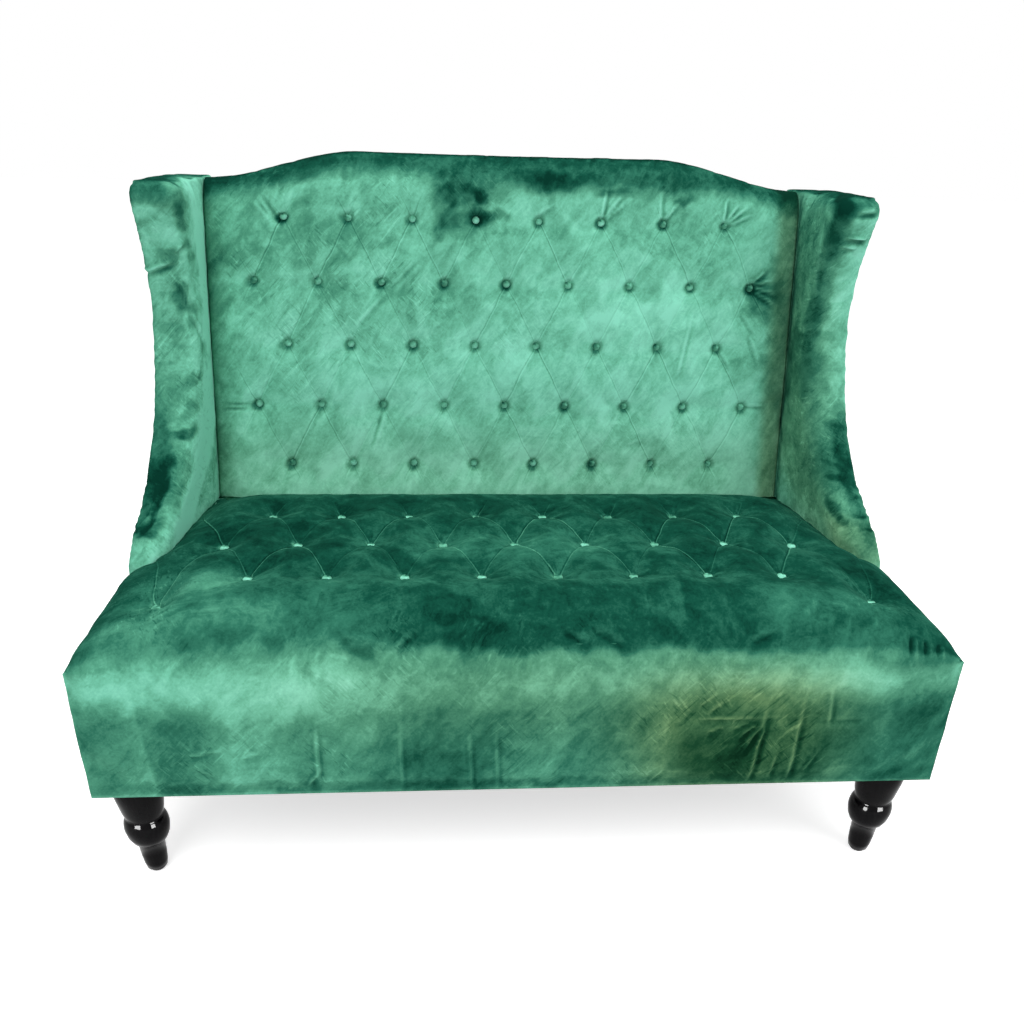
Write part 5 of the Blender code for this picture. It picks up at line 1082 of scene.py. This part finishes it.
def dress_wing(wing, side):
    """Press the creases into a wing, brush its nap and paint shade and light along the creases."""
    mesh = wing.data
    places = points_of(mesh)
    outwards = normals_of(mesh)
    outline = np.array(wing_outline(WING_REAR))
    fronts = outline[1:-2]
    size, height = np.abs(places[:, 0]), places[:, 2]
    front_y = FRONT_Y + np.interp(height, fronts[:, 1], fronts[:, 0])
    behind = np.maximum(places[:, 1] - front_y, 0)
    around = np.maximum(WING_OUTER_HALF - size, 0) + behind
    shown = smooth_step((WING_RIM_HALF - 0.004 - size) / 0.012)
    shown = np.maximum(shown, smooth_step((0.012 - behind) / 0.008))
    sunk = -0.0015 - 0.0012 * wobble(places, 10.0, 7.7) - 0.0007 * wobble(places, 34.0, 2.2)
    pressed = creases(WING_CREASES[side], around, height)
    set_points(mesh, places - outwards * ((sunk + pressed) * shown)[:, None])
    ragged = wobble(places, 26.0, 3.3) + 0.7 * wobble(places, 75.0, 6.8)
    nap_and_painted_shade = 0.06 * wobble(places, 12.0, 5.5)
    nap_and_painted_shade += brushed(WING_BRUSHED[side], around + 0.007 * ragged, height + 0.009 * ragged, 0.5)
    # Painted shade in the creases' grooves and painted light on their ridges.
    mark(mesh, "nap_and_painted_shade", (nap_and_painted_shade - 45 * pressed) * shown)
    olive = 0.30 * oval(around, height, (0.18, 0.60), (0.13, 0.30), 0.6)
    olive += 0.34 * oval(around, height, (0.05, 0.462), (0.09, 0.030), 0.4)
    mark(mesh, "olive", olive * shown * (side > 0))
    mark(mesh, "worn", 0.3 + 0.4 * shown)


def make_outside_wing(side, name):
    """The wing's outside panel, a little puffed, inside the cover's rim. It is
    shaped upright and then leans like the back, so its rear edge is straight."""
    loop = wing_outline(PANEL_REAR)
    loop = [(depth + 0.010, height) for depth, height in loop[:-2]] + loop[-2:]
    upright = [
        (FRONT_Y + depth - lean_depth(0, height), min(height, WING_TOP_Z - 0.007))
        for depth, height in loop
    ]
    panel = make_piece(name, thick_outline(upright, side * PANEL_INNER_HALF, side * PANEL_OUTER_HALF))
    remesh(panel, 0.005)
    soften = panel.modifiers.new("soften", "SMOOTH")
    soften.factor = 0.5
    soften.iterations = 3
    bake_modifiers(panel)
    places = points_of(panel.data)
    places[:, 1] += lean_depth(0, places[:, 2])
    set_points(panel.data, places)
    return panel


# Outside back and dust sheet

def make_outside_back():
    """The plain cover behind the back."""
    columns, rows = 120, 70
    back = make_piece("outside_back", cell_grid(columns, rows))
    mesh = back.data
    cells = points_of(mesh)
    across = (cells[:, 0] / columns * 2 - 1) * WING_RIM_HALF
    share = cells[:, 1] / rows
    bottom = rise_at(WING_REAR, SEAT_BOTTOM_Z + 0.001)
    top = camel_rise(across) - 0.014
    rise = bottom + share * (top - bottom)
    to_side = (WING_RIM_HALF - np.abs(across)) / 0.04
    puff = 0.0015 * round_over(to_side) * round_over((1 - share) / 0.06)
    places = np.stack([across, OUTSIDE_BACK_PLACE + puff, rise], axis=1)
    set_points(mesh, tilted(places))
    thick = back.modifiers.new("thick", "SOLIDIFY")
    thick.thickness = 0.004
    thick.offset = -1
    bake_modifiers(back)
    bm = bmesh.new()
    bm.from_mesh(back.data)
    bmesh.ops.recalc_face_normals(bm, faces=bm.faces)
    bm.to_mesh(back.data)
    bm.free()
    return back


def make_dust_sheet():
    """The thin black cloth under the seat."""
    low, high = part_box("seat_dust_cover")
    bm = bmesh.new()
    bmesh.ops.create_grid(bm, x_segments=60, y_segments=32, size=0.5)
    for vertex in bm.verts:
        x = low.x + (vertex.co.x + 0.5) * (high.x - low.x)
        y = low.y + (vertex.co.y + 0.5) * (high.y - low.y)
        limit = RAIL_HALF if y < FRONT_Y + SEAT_EAR_DEPTH else REAR_RAIL_HALF
        vertex.co = (max(-limit, min(limit, x)), y, low.z + 0.0004)
    bmesh.ops.remove_doubles(bm, verts=bm.verts, dist=0.0005)
    bmesh.ops.solidify(bm, geom=bm.faces[:], thickness=0.0006)
    bmesh.ops.recalc_face_normals(bm, faces=bm.faces)
    return make_piece("dust_sheet", bm)


# Legs

LEG_HALF_SPACING = 0.57933
LEG_Y = -0.31646
LEG_LEAN = math.radians(6)
# A front leg's outline from the foot up, as (radius, height)
LEG_PROFILE = (
    (0.0118, 0.0038), (0.0160, 0.0055), (0.0180, 0.016), (0.0195, 0.034), (0.0205, 0.054),
    (0.0225, 0.0552), (0.0275, 0.0600), (0.0320, 0.0700), (0.0342, 0.0830), (0.0340, 0.0880),
    (0.0333, 0.0930), (0.0320, 0.0975), (0.0302, 0.1015), (0.0286, 0.1040), (0.0292, 0.1060),
    (0.0305, 0.1100), (0.0325, 0.1180), (0.0352, 0.135), (0.0370, 0.146), (0.0370, 0.1902),
)


def make_front_leg(side, name):
    """A turned front leg, which leans inwards towards its foot."""
    bm = bmesh.new()
    verts = [bm.verts.new((0, 0, LEG_PROFILE[0][1]))]
    verts += [bm.verts.new((radius, 0, height)) for radius, height in LEG_PROFILE]
    verts.append(bm.verts.new((0, 0, LEG_PROFILE[-1][1])))
    for first, second in zip(verts, verts[1:]):
        bm.edges.new((first, second))
    bmesh.ops.spin(bm, geom=bm.verts[:] + bm.edges[:], cent=(0, 0, 0), axis=(0, 0, 1),
                   dvec=(0, 0, 0), angle=2 * math.pi, steps=64, use_merge=True,
                   use_duplicate=False)
    bmesh.ops.remove_doubles(bm, verts=bm.verts, dist=0.00001)
    bmesh.ops.recalc_face_normals(bm, faces=bm.faces)
    for vertex in bm.verts:
        lean = math.tan(LEG_LEAN) * vertex.co.z
        vertex.co.x += side * (LEG_HALF_SPACING + lean)
        vertex.co.y += LEG_Y
    return make_piece(name, bm)


# Materials

def feed(tree, node, inputs):
    """Set a node's inputs to numbers, colours or the sockets that feed them."""
    for socket, value in inputs.items():
        if isinstance(value, bpy.types.NodeSocket):
            tree.links.new(value, node.inputs[socket])
        else:
            node.inputs[socket].default_value = value


def shader_node(tree, kind, inputs=None, **settings):
    """Add a node with its inputs and settings."""
    made = tree.nodes.new("ShaderNode" + kind)
    for name, value in settings.items():
        setattr(made, name, value)
    feed(tree, made, inputs or {})
    return made


def maths(tree, operation, first, second=0.0, third=0.0, clamp=False):
    """Result of a Math node."""
    made = shader_node(tree, "Math", {0: first, 1: second, 2: third}, operation=operation,
                       use_clamp=clamp)
    return made.outputs[0]


def ease(tree, value, low, high, start=0.0, end=1.0):
    """Bring a value from one range smoothly to another."""
    made = shader_node(
        tree, "MapRange",
        {"Value": value, "From Min": low, "From Max": high, "To Min": start, "To Max": end},
        interpolation_type="SMOOTHSTEP",
    )
    return made.outputs["Result"]


def colour_ramp(tree, value, *stops):
    """Colour for a value, from (place, colour) stops."""
    ramp = shader_node(tree, "ValToRGB", {"Fac": value})
    points = ramp.color_ramp.elements
    while len(points) < len(stops):
        points.new(0.5)
    for point, (place, colour) in zip(points, stops):
        point.position = place
        point.color = (*colour, 1)
    return ramp.outputs["Color"]


def speckle(tree, scale, stretch=(1, 1, 1), turn=(0, 0, 0), detail=3.0, roughness=0.6, distortion=0.0):
    """Noise over the piece's own coordinates, drawn out by stretch along
    turned axes."""
    place = shader_node(tree, "TexCoord").outputs["Object"]
    mapped = shader_node(tree, "Mapping", {"Vector": place, "Scale": stretch, "Rotation": turn},
                         vector_type="TEXTURE")
    texture = shader_node(
        tree, "TexNoise",
        {"Vector": mapped.outputs["Vector"], "Scale": scale, "Detail": detail,
         "Roughness": roughness, "Distortion": distortion},
    )
    return texture.outputs["Fac"]


def new_group(name, inputs, outputs):
    """A node group with named number inputs and its outputs as (name, kind)."""
    group = bpy.data.node_groups.new(name, "ShaderNodeTree")
    for socket, value in inputs:
        made = group.interface.new_socket(socket, in_out="INPUT", socket_type="NodeSocketFloat")
        made.default_value = value
    for socket, kind in outputs:
        group.interface.new_socket(socket, in_out="OUTPUT", socket_type="NodeSocket" + kind)
    return group, group.nodes.new("NodeGroupInput"), group.nodes.new("NodeGroupOutput")


def use_group(tree, group, **values):
    """Place a group in a material with its own values."""
    made = tree.nodes.new("ShaderNodeGroup")
    made.node_tree = group
    feed(tree, made, {socket.replace("_", " "): value for socket, value in values.items()})
    return made


def make_nap_and_shade_group():
    """How light the velvet looks: painted shade where it faces up and painted
    light where it faces forwards, to the sides or rearwards, with brushed nap
    patches and strokes. It puts out the shade from 0 to 1 and a fine relief."""
    group, given, result = new_group(
        "velvet_nap_and_painted_shade",
        (("Lift", 0.0), ("Patches", 0.16), ("Strokes", 0.1)),
        (("Shade", "Float"), ("Relief", "Float")),
    )
    facing = shader_node(group, "SeparateXYZ", {0: shader_node(group, "NewGeometry").outputs["Normal"]})
    # Painted light and shade by facing: lighter forwards, aside and rearwards, darker on slopes that face up
    # or to the left.
    sideways = maths(group, "MULTIPLY", maths(group, "ABSOLUTE", facing.outputs["X"]), 0.72)
    sideways = maths(group, "MULTIPLY_ADD", facing.outputs["X"], 0.16, sideways)
    forwards = maths(group, "MULTIPLY_ADD", facing.outputs["Y"], -1.25, sideways)
    rearwards = maths(group, "MAXIMUM", maths(group, "SUBTRACT", facing.outputs["Y"], 0.4), 0.0)
    forwards = maths(group, "MULTIPLY_ADD", rearwards, 2.7, forwards)
    painted_lit = ease(group, forwards, 0.06, 0.78)
    painted_slope_shade = maths(group, "MULTIPLY", facing.outputs["Z"], 0.36)
    painted_slope_shade = maths(group, "MULTIPLY_ADD", facing.outputs["X"], -0.24, painted_slope_shade)
    painted_slope_shade = maths(group, "MULTIPLY", painted_slope_shade, facing.outputs["Y"])
    patches = speckle(group, 7.5, detail=5.0, roughness=0.62, distortion=1.4)
    mottle = speckle(group, 42.0, detail=4.0, roughness=0.68, distortion=0.6)
    strokes = speckle(group, 34.0, stretch=(0.7, 1.2, 2.4), turn=(0.3, 0.6, 0.2), detail=4.0,
                      roughness=0.7, distortion=0.6)
    fine = speckle(group, 260.0, detail=2.0, roughness=0.6)
    shade = maths(group, "MULTIPLY_ADD", painted_lit, 0.62, 0.17)
    shade = maths(group, "ADD", shade, painted_slope_shade)
    shade = maths(group, "ADD", shade, given.outputs["Lift"])
    for texture, low, high, share in (
        (patches, 0.36, 0.64, given.outputs["Patches"]),
        (mottle, 0.3, 0.7, maths(group, "MULTIPLY", given.outputs["Patches"], 0.7)),
        (strokes, 0.32, 0.68, given.outputs["Strokes"]),
        (fine, 0.3, 0.7, 0.05),
    ):
        swing = ease(group, texture, low, high, -0.5, 0.5)
        shade = maths(group, "MULTIPLY_ADD", swing, share, shade)
    shade = maths(group, "MINIMUM", maths(group, "MAXIMUM", shade, 0.03), 1.0)
    relief = maths(group, "MULTIPLY_ADD", mottle, 0.7, maths(group, "MULTIPLY", fine, 0.3))
    feed(group, result, {"Shade": shade, "Relief": relief})
    return group


def thin_line(tree, value, place, half_width):
    """1 at a place of a value, falling to 0 within half a width."""
    away = maths(tree, "ABSOLUTE", maths(tree, "SUBTRACT", value, place))
    return maths(tree, "SUBTRACT", 1.0, maths(tree, "DIVIDE", away, half_width), clamp=True)


def make_fold_group():
    """Folds that run from button to button: a painted highlight line and a painted
    shade line beside each other, some of them stronger than others."""
    group, given, result = new_group(
        "tuft_folds",
        (("Across", 0.0), ("Along", 0.0), ("Spacing", 0.12), ("Step", 0.12), ("Start", 0.0)),
        (("Light", "Float"), ("Dark", "Float")),
    )
    wave = maths(group, "SUBTRACT", speckle(group, 16.0, detail=2.0), 0.5)
    across = maths(group, "MULTIPLY_ADD", wave, 0.010, given.outputs["Across"])
    column = maths(group, "DIVIDE", across, given.outputs["Spacing"])
    row = maths(group, "SUBTRACT", given.outputs["Along"], given.outputs["Start"])
    row = maths(group, "DIVIDE", maths(group, "MULTIPLY", row, 0.5), given.outputs["Step"])
    pair = [maths(group, "ADD", column, row), maths(group, "SUBTRACT", column, row)]
    lights, darks = [], []
    for number, (first, second) in enumerate((pair, pair[::-1])):
        nearest = maths(group, "ROUND", first)
        away = maths(group, "MULTIPLY", maths(group, "SUBTRACT", first, nearest), 0.105)
        whole = maths(group, "ADD", maths(group, "FLOOR", second), 31.7 * number)
        place = shader_node(group, "CombineXYZ", {0: nearest, 1: whole})
        luck = shader_node(group, "TexWhiteNoise", {"Vector": place.outputs[0]},
                           noise_dimensions="2D").outputs["Value"]
        strength = maths(group, "MULTIPLY_ADD", luck, 0.8, 0.2)
        lights.append(maths(group, "MULTIPLY", thin_line(group, away, 0.0008, 0.0016), strength))
        darks.append(maths(group, "MULTIPLY", thin_line(group, away, -0.0012, 0.0018), strength))
    feed(group, result, {"Light": maths(group, "MAXIMUM", *lights), "Dark": maths(group, "MAXIMUM", *darks)})
    return group


def make_wrinkle_group():
    """Fine wrinkles: short thin strokes along two slants, from -1 to 1, that paint their light and shade."""
    group, given, result = new_group("fine_wrinkles", (("Amount", 1.0),), (("Lines", "Float"),))
    total = 0.0
    for lean, scale in ((0.75, 62.0), (-0.70, 70.0)):
        value = speckle(group, scale, stretch=(0.30, 0.9, 2.6), turn=(0.2, lean, 0.3), detail=1.5,
                        roughness=0.5, distortion=0.35)
        light = ease(group, value, 0.60, 0.70)
        dark = ease(group, value, 0.40, 0.30)
        patchy = ease(group, speckle(group, 8.0, detail=2.0, turn=(1.0, lean, 0)), 0.48, 0.62)
        strokes = maths(group, "MULTIPLY", maths(group, "SUBTRACT", light, dark), patchy)
        total = maths(group, "ADD", strokes, total)
    feed(group, result, {"Lines": maths(group, "MULTIPLY", total, given.outputs["Amount"])})
    return group


VELVET_SHADES = (
    (0.0, (0.0012, 0.023, 0.0145)),
    (0.2, (0.0055, 0.065, 0.041)),
    (0.4, (0.0255, 0.146, 0.095)),
    (0.6, (0.0700, 0.272, 0.175)),
    (0.8, (0.1450, 0.470, 0.325)),
    (1.0, (0.2300, 0.640, 0.480)),
)


def new_material(name):
    """A material with a Principled shader, and its nodes."""
    material = bpy.data.materials.new(name)
    material.use_nodes = True
    return material, material.node_tree, material.node_tree.nodes["Principled BSDF"]


def mesh_number(tree, name):
    """A number stored on the mesh."""
    return shader_node(tree, "Attribute", attribute_name=name, attribute_type="GEOMETRY").outputs["Fac"]


def make_velvet(name, patches=0.16, strokes=0.1, pitch=None, folds=(0.0, 0.0)):
    """Emerald velvet with a short brushed nap and painted light and shade. pitch and
    folds give the lattice of the buttons and how strong the painted highlight and painted shade along its
    folds are."""
    material, tree, shader = new_material(name)
    nap_and_painted_shade = use_group(tree, NAP_AND_SHADE, Lift=mesh_number(tree, "nap_and_painted_shade"), Patches=patches, Strokes=strokes)
    wrinkles = use_group(tree, WRINKLES, Amount=mesh_number(tree, "worn")).outputs["Lines"]
    # Painted light and shade of the fine wrinkles, as strong as the worn number says.
    shade = maths(tree, "MULTIPLY_ADD", wrinkles, 0.14, nap_and_painted_shade.outputs["Shade"])
    relief = maths(tree, "MULTIPLY_ADD", wrinkles, 0.6, nap_and_painted_shade.outputs["Relief"])
    if pitch:
        spacing, step, even_row = pitch
        fold = use_group(tree, FOLDS, Across=mesh_number(tree, "tuft_x"), Along=mesh_number(tree, "tuft_y"),
                         Spacing=spacing, Step=step, Start=even_row)
        tufted = mesh_number(tree, "tufted")
        # Painted highlight and painted shade along the folds.
        light = maths(tree, "MULTIPLY", fold.outputs["Light"], tufted)
        dark = maths(tree, "MULTIPLY", fold.outputs["Dark"], tufted)
        shade = maths(tree, "MULTIPLY_ADD", light, folds[0], shade)
        shade = maths(tree, "MULTIPLY_ADD", dark, -folds[1], shade)
        relief = maths(tree, "MULTIPLY_ADD", dark, -1.2, relief)
    shade = maths(tree, "MAXIMUM", shade, 0.02, clamp=True)
    colour = colour_ramp(tree, shade, *VELVET_SHADES)
    aged = shader_node(
        tree, "Mix", {0: mesh_number(tree, "olive"), 6: colour, 7: (1.60, 0.83, 0.57, 1)},
        data_type="RGBA", blend_type="MULTIPLY",
    )
    roughness = ease(tree, shade, 0, 1, 0.72, 0.55)
    finish_surface(tree, shader, aged.outputs[2], roughness, relief, 0.0012, 0.5)
    feed(tree, shader, {
        "Specular IOR Level": 0.0, "Sheen Weight": 0.03, "Sheen Roughness": 0.4,
        "Sheen Tint": (0.35, 0.85, 0.65, 1),
    })
    return material


def make_grain_group():
    """Wood grain drawn out along the piece: growth rings and fine pores."""
    group, given, result = new_group(
        "wood_grain", (("Along X", 1.0), ("Along Y", 1.0), ("Along Z", 1.0)),
        (("Rings", "Float"), ("Pores", "Float")),
    )
    along = shader_node(group, "CombineXYZ", {axis: given.outputs["Along " + axis] for axis in "XYZ"})
    broad = speckle(group, 22.0, stretch=along.outputs[0], detail=2.0, distortion=0.7)
    rings = ease(group, maths(group, "SINE", maths(group, "MULTIPLY", broad, 55.0)), -1.0, 1.0)
    pores = ease(group, speckle(group, 300.0, stretch=along.outputs[0], detail=2.0), 0.52, 0.68)
    feed(group, result, {"Rings": rings, "Pores": pores})
    return group


def make_uneven_group():
    """Uneven tone of a plain surface, from 0 to 1, and its fine relief."""
    group, given, result = new_group(
        "uneven_surface", (("Size", 0.1), ("Grit", 0.002)), (("Tone", "Float"), ("Relief", "Float")),
    )
    broad = speckle(group, maths(group, "DIVIDE", 1.0, given.outputs["Size"]), detail=5.0)
    grit = speckle(group, maths(group, "DIVIDE", 1.0, given.outputs["Grit"]), detail=2.0)
    tone = maths(group, "MULTIPLY_ADD", broad, 0.65, maths(group, "MULTIPLY", grit, 0.35))
    feed(group, result, {"Tone": ease(group, tone, 0.32, 0.68), "Relief": grit})
    return group


def finish_surface(tree, shader, colour, roughness, relief, depth, strength=0.6):
    """Connect colour, roughness and relief to a shader."""
    bump = shader_node(tree, "Bump", {"Height": relief, "Strength": strength, "Distance": depth})
    feed(tree, shader, {"Base Color": colour, "Roughness": roughness, "Normal": bump.outputs["Normal"]})


def make_wood(name, axis, pale, dark, plies=0.0):
    """Planed wood with its grain along an axis; plies is the thickness of a
    ply of a glued board."""
    material, tree, shader = new_material(name)
    along = {f"Along_{letter}": 9.0 if letter == axis else 1.0 for letter in "XYZ"}
    grain = use_group(tree, GRAIN, **along)
    worn = use_group(tree, UNEVEN, Size=0.12, Grit=0.003)
    shade = maths(tree, "MULTIPLY_ADD", grain.outputs["Rings"], 0.45,
                  maths(tree, "MULTIPLY", worn.outputs["Tone"], 0.35))
    shade = maths(tree, "MULTIPLY_ADD", grain.outputs["Pores"], 0.25, shade)
    if plies:
        place = shader_node(tree, "SeparateXYZ", {0: shader_node(tree, "TexCoord").outputs["Object"]})
        layer = maths(tree, "FRACT", maths(tree, "DIVIDE", place.outputs["X"], 2 * plies))
        on_edge = shader_node(tree, "SeparateXYZ", {0: shader_node(tree, "NewGeometry").outputs["Normal"]})
        on_edge = maths(tree, "LESS_THAN", maths(tree, "ABSOLUTE", on_edge.outputs["X"]), 0.5)
        layer = maths(tree, "MULTIPLY", maths(tree, "GREATER_THAN", layer, 0.5), on_edge)
        shade = maths(tree, "MULTIPLY_ADD", layer, 0.4, shade)
    colour = colour_ramp(tree, shade, (0.0, pale), (1.0, dark))
    rough = ease(tree, shade, 0.0, 1.0, 0.55, 0.75)
    finish_surface(tree, shader, colour, rough, shade, 0.0002)
    return material


def make_plain(name, pale, dark, size, grit, rough, depth, specular=0.5, metallic=0.0):
    """A surface of one stuff, uneven in tone: foam, board, felt, metal or cloth."""
    material, tree, shader = new_material(name)
    uneven = use_group(tree, UNEVEN, Size=size, Grit=grit)
    tone = uneven.outputs["Tone"]
    colour = colour_ramp(tree, tone, (0.0, dark), (1.0, pale))
    roughness = ease(tree, tone, 0.0, 1.0, rough[1], rough[0])
    finish_surface(tree, shader, colour, roughness, uneven.outputs["Relief"], depth)
    feed(tree, shader, {"Specular IOR Level": specular, "Metallic": metallic})
    return material


def make_webbing():
    """Elastic webbing: a fine weave, uneven in tone."""
    material, tree, shader = new_material("woven_webbing")
    place = shader_node(tree, "SeparateXYZ", {0: shader_node(tree, "TexCoord").outputs["Object"]})
    upwards = maths(tree, "ADD", place.outputs["Y"], place.outputs["Z"])
    waves = [
        maths(tree, "SINE", maths(tree, "MULTIPLY", value, 2 * math.pi / 0.0024))
        for value in (place.outputs["X"], upwards)
    ]
    weave = ease(tree, maths(tree, "MULTIPLY", *waves), -1.0, 1.0)
    worn = use_group(tree, UNEVEN, Size=0.05, Grit=0.001)
    shade = maths(tree, "MULTIPLY_ADD", weave, 0.6, maths(tree, "MULTIPLY", worn.outputs["Tone"], 0.4))
    colour = colour_ramp(tree, shade, (0.0, (0.012, 0.012, 0.014)), (1.0, (0.11, 0.11, 0.125)))
    finish_surface(tree, shader, colour, ease(tree, shade, 0, 1, 0.9, 0.7), weave, 0.0004)
    return material


def make_lacquer():
    """Deep black lacquer over turned wood, with faint grain and handling marks."""
    material, tree, shader = new_material("black_lacquer")
    grain = use_group(tree, GRAIN, Along_X=1.0, Along_Y=1.0, Along_Z=9.0)
    handled = use_group(tree, UNEVEN, Size=0.03, Grit=0.004)
    tone = maths(tree, "MULTIPLY_ADD", grain.outputs["Rings"], 0.4,
                 maths(tree, "MULTIPLY", handled.outputs["Tone"], 0.6))
    colour = colour_ramp(tree, tone, (0.0, (0.0018, 0.0018, 0.0024)), (1.0, (0.0050, 0.0046, 0.0052)))
    relief = maths(tree, "MULTIPLY_ADD", grain.outputs["Pores"], 0.3, handled.outputs["Relief"])
    finish_surface(tree, shader, colour, ease(tree, tone, 0, 1, 0.05, 0.12), relief, 0.00004)
    feed(tree, shader, {"Specular IOR Level": 0.06})
    return material


GRAIN = make_grain_group()
UNEVEN = make_uneven_group()
NAP_AND_SHADE = make_nap_and_shade_group()
FOLDS = make_fold_group()
WRINKLES = make_wrinkle_group()
SEAT_VELVET = make_velvet("seat_velvet", 0.15, 0.09, SEAT_PITCH, (0.36, 0.10))
BACK_VELVET = make_velvet("back_velvet", 0.14, 0.13, BACK_PITCH, (0.12, 0.14))
PLAIN_VELVET = make_velvet("plain_velvet", 0.18, 0.12)
LACQUER = make_lacquer()
DUST_CLOTH = make_plain("black_dust_cloth", (0.022, 0.022, 0.024), (0.010, 0.010, 0.011), 0.02, 0.0016,
                        (0.85, 0.98), 0.0003, specular=0.0)
FINISHES = {
    "velvet": PLAIN_VELVET,
    "foam": make_plain("open_cell_foam", (0.82, 0.70, 0.42), (0.62, 0.49, 0.25), 0.03, 0.0015,
                       (0.85, 0.98), 0.0006, specular=0.2),
    "plywood": make_wood("birch_plywood", "Z", (0.70, 0.53, 0.33), (0.45, 0.30, 0.16), plies=0.0016),
    "board": make_plain("fibre_board", (0.44, 0.38, 0.31), (0.29, 0.25, 0.20), 0.01, 0.0008,
                        (0.75, 0.92), 0.0002, specular=0.3),
    "webbing": make_webbing(),
    "dust_cloth": DUST_CLOTH,
    "lacquer": LACQUER,
    "felt": make_plain("grey_felt", (0.17, 0.17, 0.17), (0.07, 0.07, 0.072), 0.004, 0.0005,
                       (0.9, 1.0), 0.0004, specular=0.0),
    "steel": make_plain("zinc_plate", (0.66, 0.67, 0.68), (0.42, 0.43, 0.46), 0.006, 0.0006,
                        (0.28, 0.48), 0.00005, metallic=1.0),
}
FRAME_WOODS = [
    make_wood(f"frame_wood_{axis.lower()}", axis, (0.60, 0.43, 0.25), (0.36, 0.23, 0.115)) for axis in "XYZ"
]


def finish_frame():
    """Give every node that stays its finish, with wood grain along its longest side."""
    for part in frame["record"]["subparts"]:
        node = frame["nodes"][part["node"]]
        low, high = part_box(part["node"])
        sides = [end - start for start, end in zip(low, high)]
        finish = FINISHES.get(part["material_slot"]) or FRAME_WOODS[sides.index(max(sides))]
        node.data.materials.clear()
        node.data.materials.append(finish)


finish_frame()


def finish_piece(piece, material, slot, *replaced):
    """Give a piece its material and its body, and hide the nodes that it stands for."""
    piece.data.materials.clear()
    piece.data.materials.append(material)
    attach(piece, "root")
    if replaced:
        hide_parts(*replaced)


seat = make_seat()
finish_piece(seat, SEAT_VELVET, "velvet", "seat_cover")
back = make_back()
finish_piece(back, BACK_VELVET, "velvet", "back_cover")

# The buttons' lifts paint a highlight on the seat's buttons and mostly shade on the back's.
seat_buttons = make_buttons(
    "seat_buttons", [
        (across, depth - SEAT_END_SHIFT * (abs(across) > OUTERMOST_BUTTON))
        for across, depth in SEAT_BUTTONS
    ],
    lambda across, depth: Vector((
        across, FRONT_Y + depth,
        float(seat_top(np.array(across), np.array(depth))) - SEAT_BUTTON_SINK,
    )),
    Vector((0, -0.35, 1)), (0.0, 0.50),
)
finish_piece(seat_buttons, PLAIN_VELVET, "velvet")
back_buttons = make_buttons(
    "back_buttons", BACK_BUTTONS,
    lambda across, rise: TILT @ Vector((across, BACK_BUTTON_SINK, rise)),
    TILT.to_3x3() @ Vector((0, -1, 0)), (-0.3, 0.1),
)
finish_piece(back_buttons, PLAIN_VELVET, "velvet")

for side, word in ((-1, "left"), (1, "right")):
    wing = make_wing(side, f"wing_{word}")
    finish_piece(wing, PLAIN_VELVET, "velvet", f"wing_cover_{word}")
    panel = make_outside_wing(side, f"wing_outside_{word}")
    finish_piece(panel, PLAIN_VELVET, "velvet", f"wing_outer_panel_{word}")
    leg = make_front_leg(side, f"turned_leg_{word}")
    finish_piece(leg, LACQUER, "lacquer", f"front_leg_{word}")

outside_back = make_outside_back()
finish_piece(outside_back, PLAIN_VELVET, "velvet", "outside_back_cover")
dust_sheet = make_dust_sheet()
finish_piece(dust_sheet, DUST_CLOTH, "dust_cloth", "seat_dust_cover")


# Studio

def seen_directly(tree):
    """1 for what is seen by eye, in a reflection or through something clear."""
    path = tree.nodes.new("ShaderNodeLightPath")
    seen = maths(tree, "ADD", path.outputs["Is Camera Ray"], path.outputs["Is Glossy Ray"])
    return maths(tree, "ADD", seen, path.outputs["Is Transmission Ray"], clamp=True)


def make_studio():
    """Pale floor, white surroundings and soft light."""
    bm = bmesh.new()
    bmesh.ops.create_grid(bm, x_segments=1, y_segments=1, size=20)
    floor = make_piece("floor", bm)
    material, tree, shader = new_material("pale_floor")
    feed(tree, shader, {
        "Base Color": (0.9, 0.9, 0.9, 1), "Roughness": 0.9, "Specular IOR Level": 0.0,
        "Emission Strength": seen_directly(tree), "Emission Color": (0.6, 0.6, 0.6, 1),
    })
    floor.data.materials.append(material)
    world = bpy.data.worlds.new("studio")
    bpy.context.scene.world = world
    world.use_nodes = True
    tree = world.node_tree
    strength = maths(tree, "MULTIPLY_ADD", seen_directly(tree), 0.45, 0.55)
    feed(tree, tree.nodes["Background"], {"Color": (1, 1, 1, 1), "Strength": strength})
    for name, place, size, power in (
        ("key_light", (-1.2, -2.2, 2.6), 1.6, 45),
        ("fill_light", (2.0, -1.6, 2.0), 1.6, 27),
        ("top_light", (0, 0.3, 2.8), 2.0, 30),
        ("left_gleam", (-1.26, -1.77, 0.50), 0.8, 260),
        ("right_gleam", (1.26, -1.77, 0.50), 0.8, 260),
    ):
        lamp = link(name, bpy.data.lights.new(name, "AREA"))
        lamp.data.shape = "SQUARE"
        lamp.data.size = size
        lamp.data.energy = power
        lamp.visible_camera = False
        lamp.visible_diffuse = not name.endswith("gleam")
        lamp.location = place
        lamp.rotation_euler = (Vector((0, 0, 0.5)) - Vector(place)).to_track_quat("-Z", "Y").to_euler()
    bpy.context.scene.view_settings.view_transform = "Standard"


make_studio()
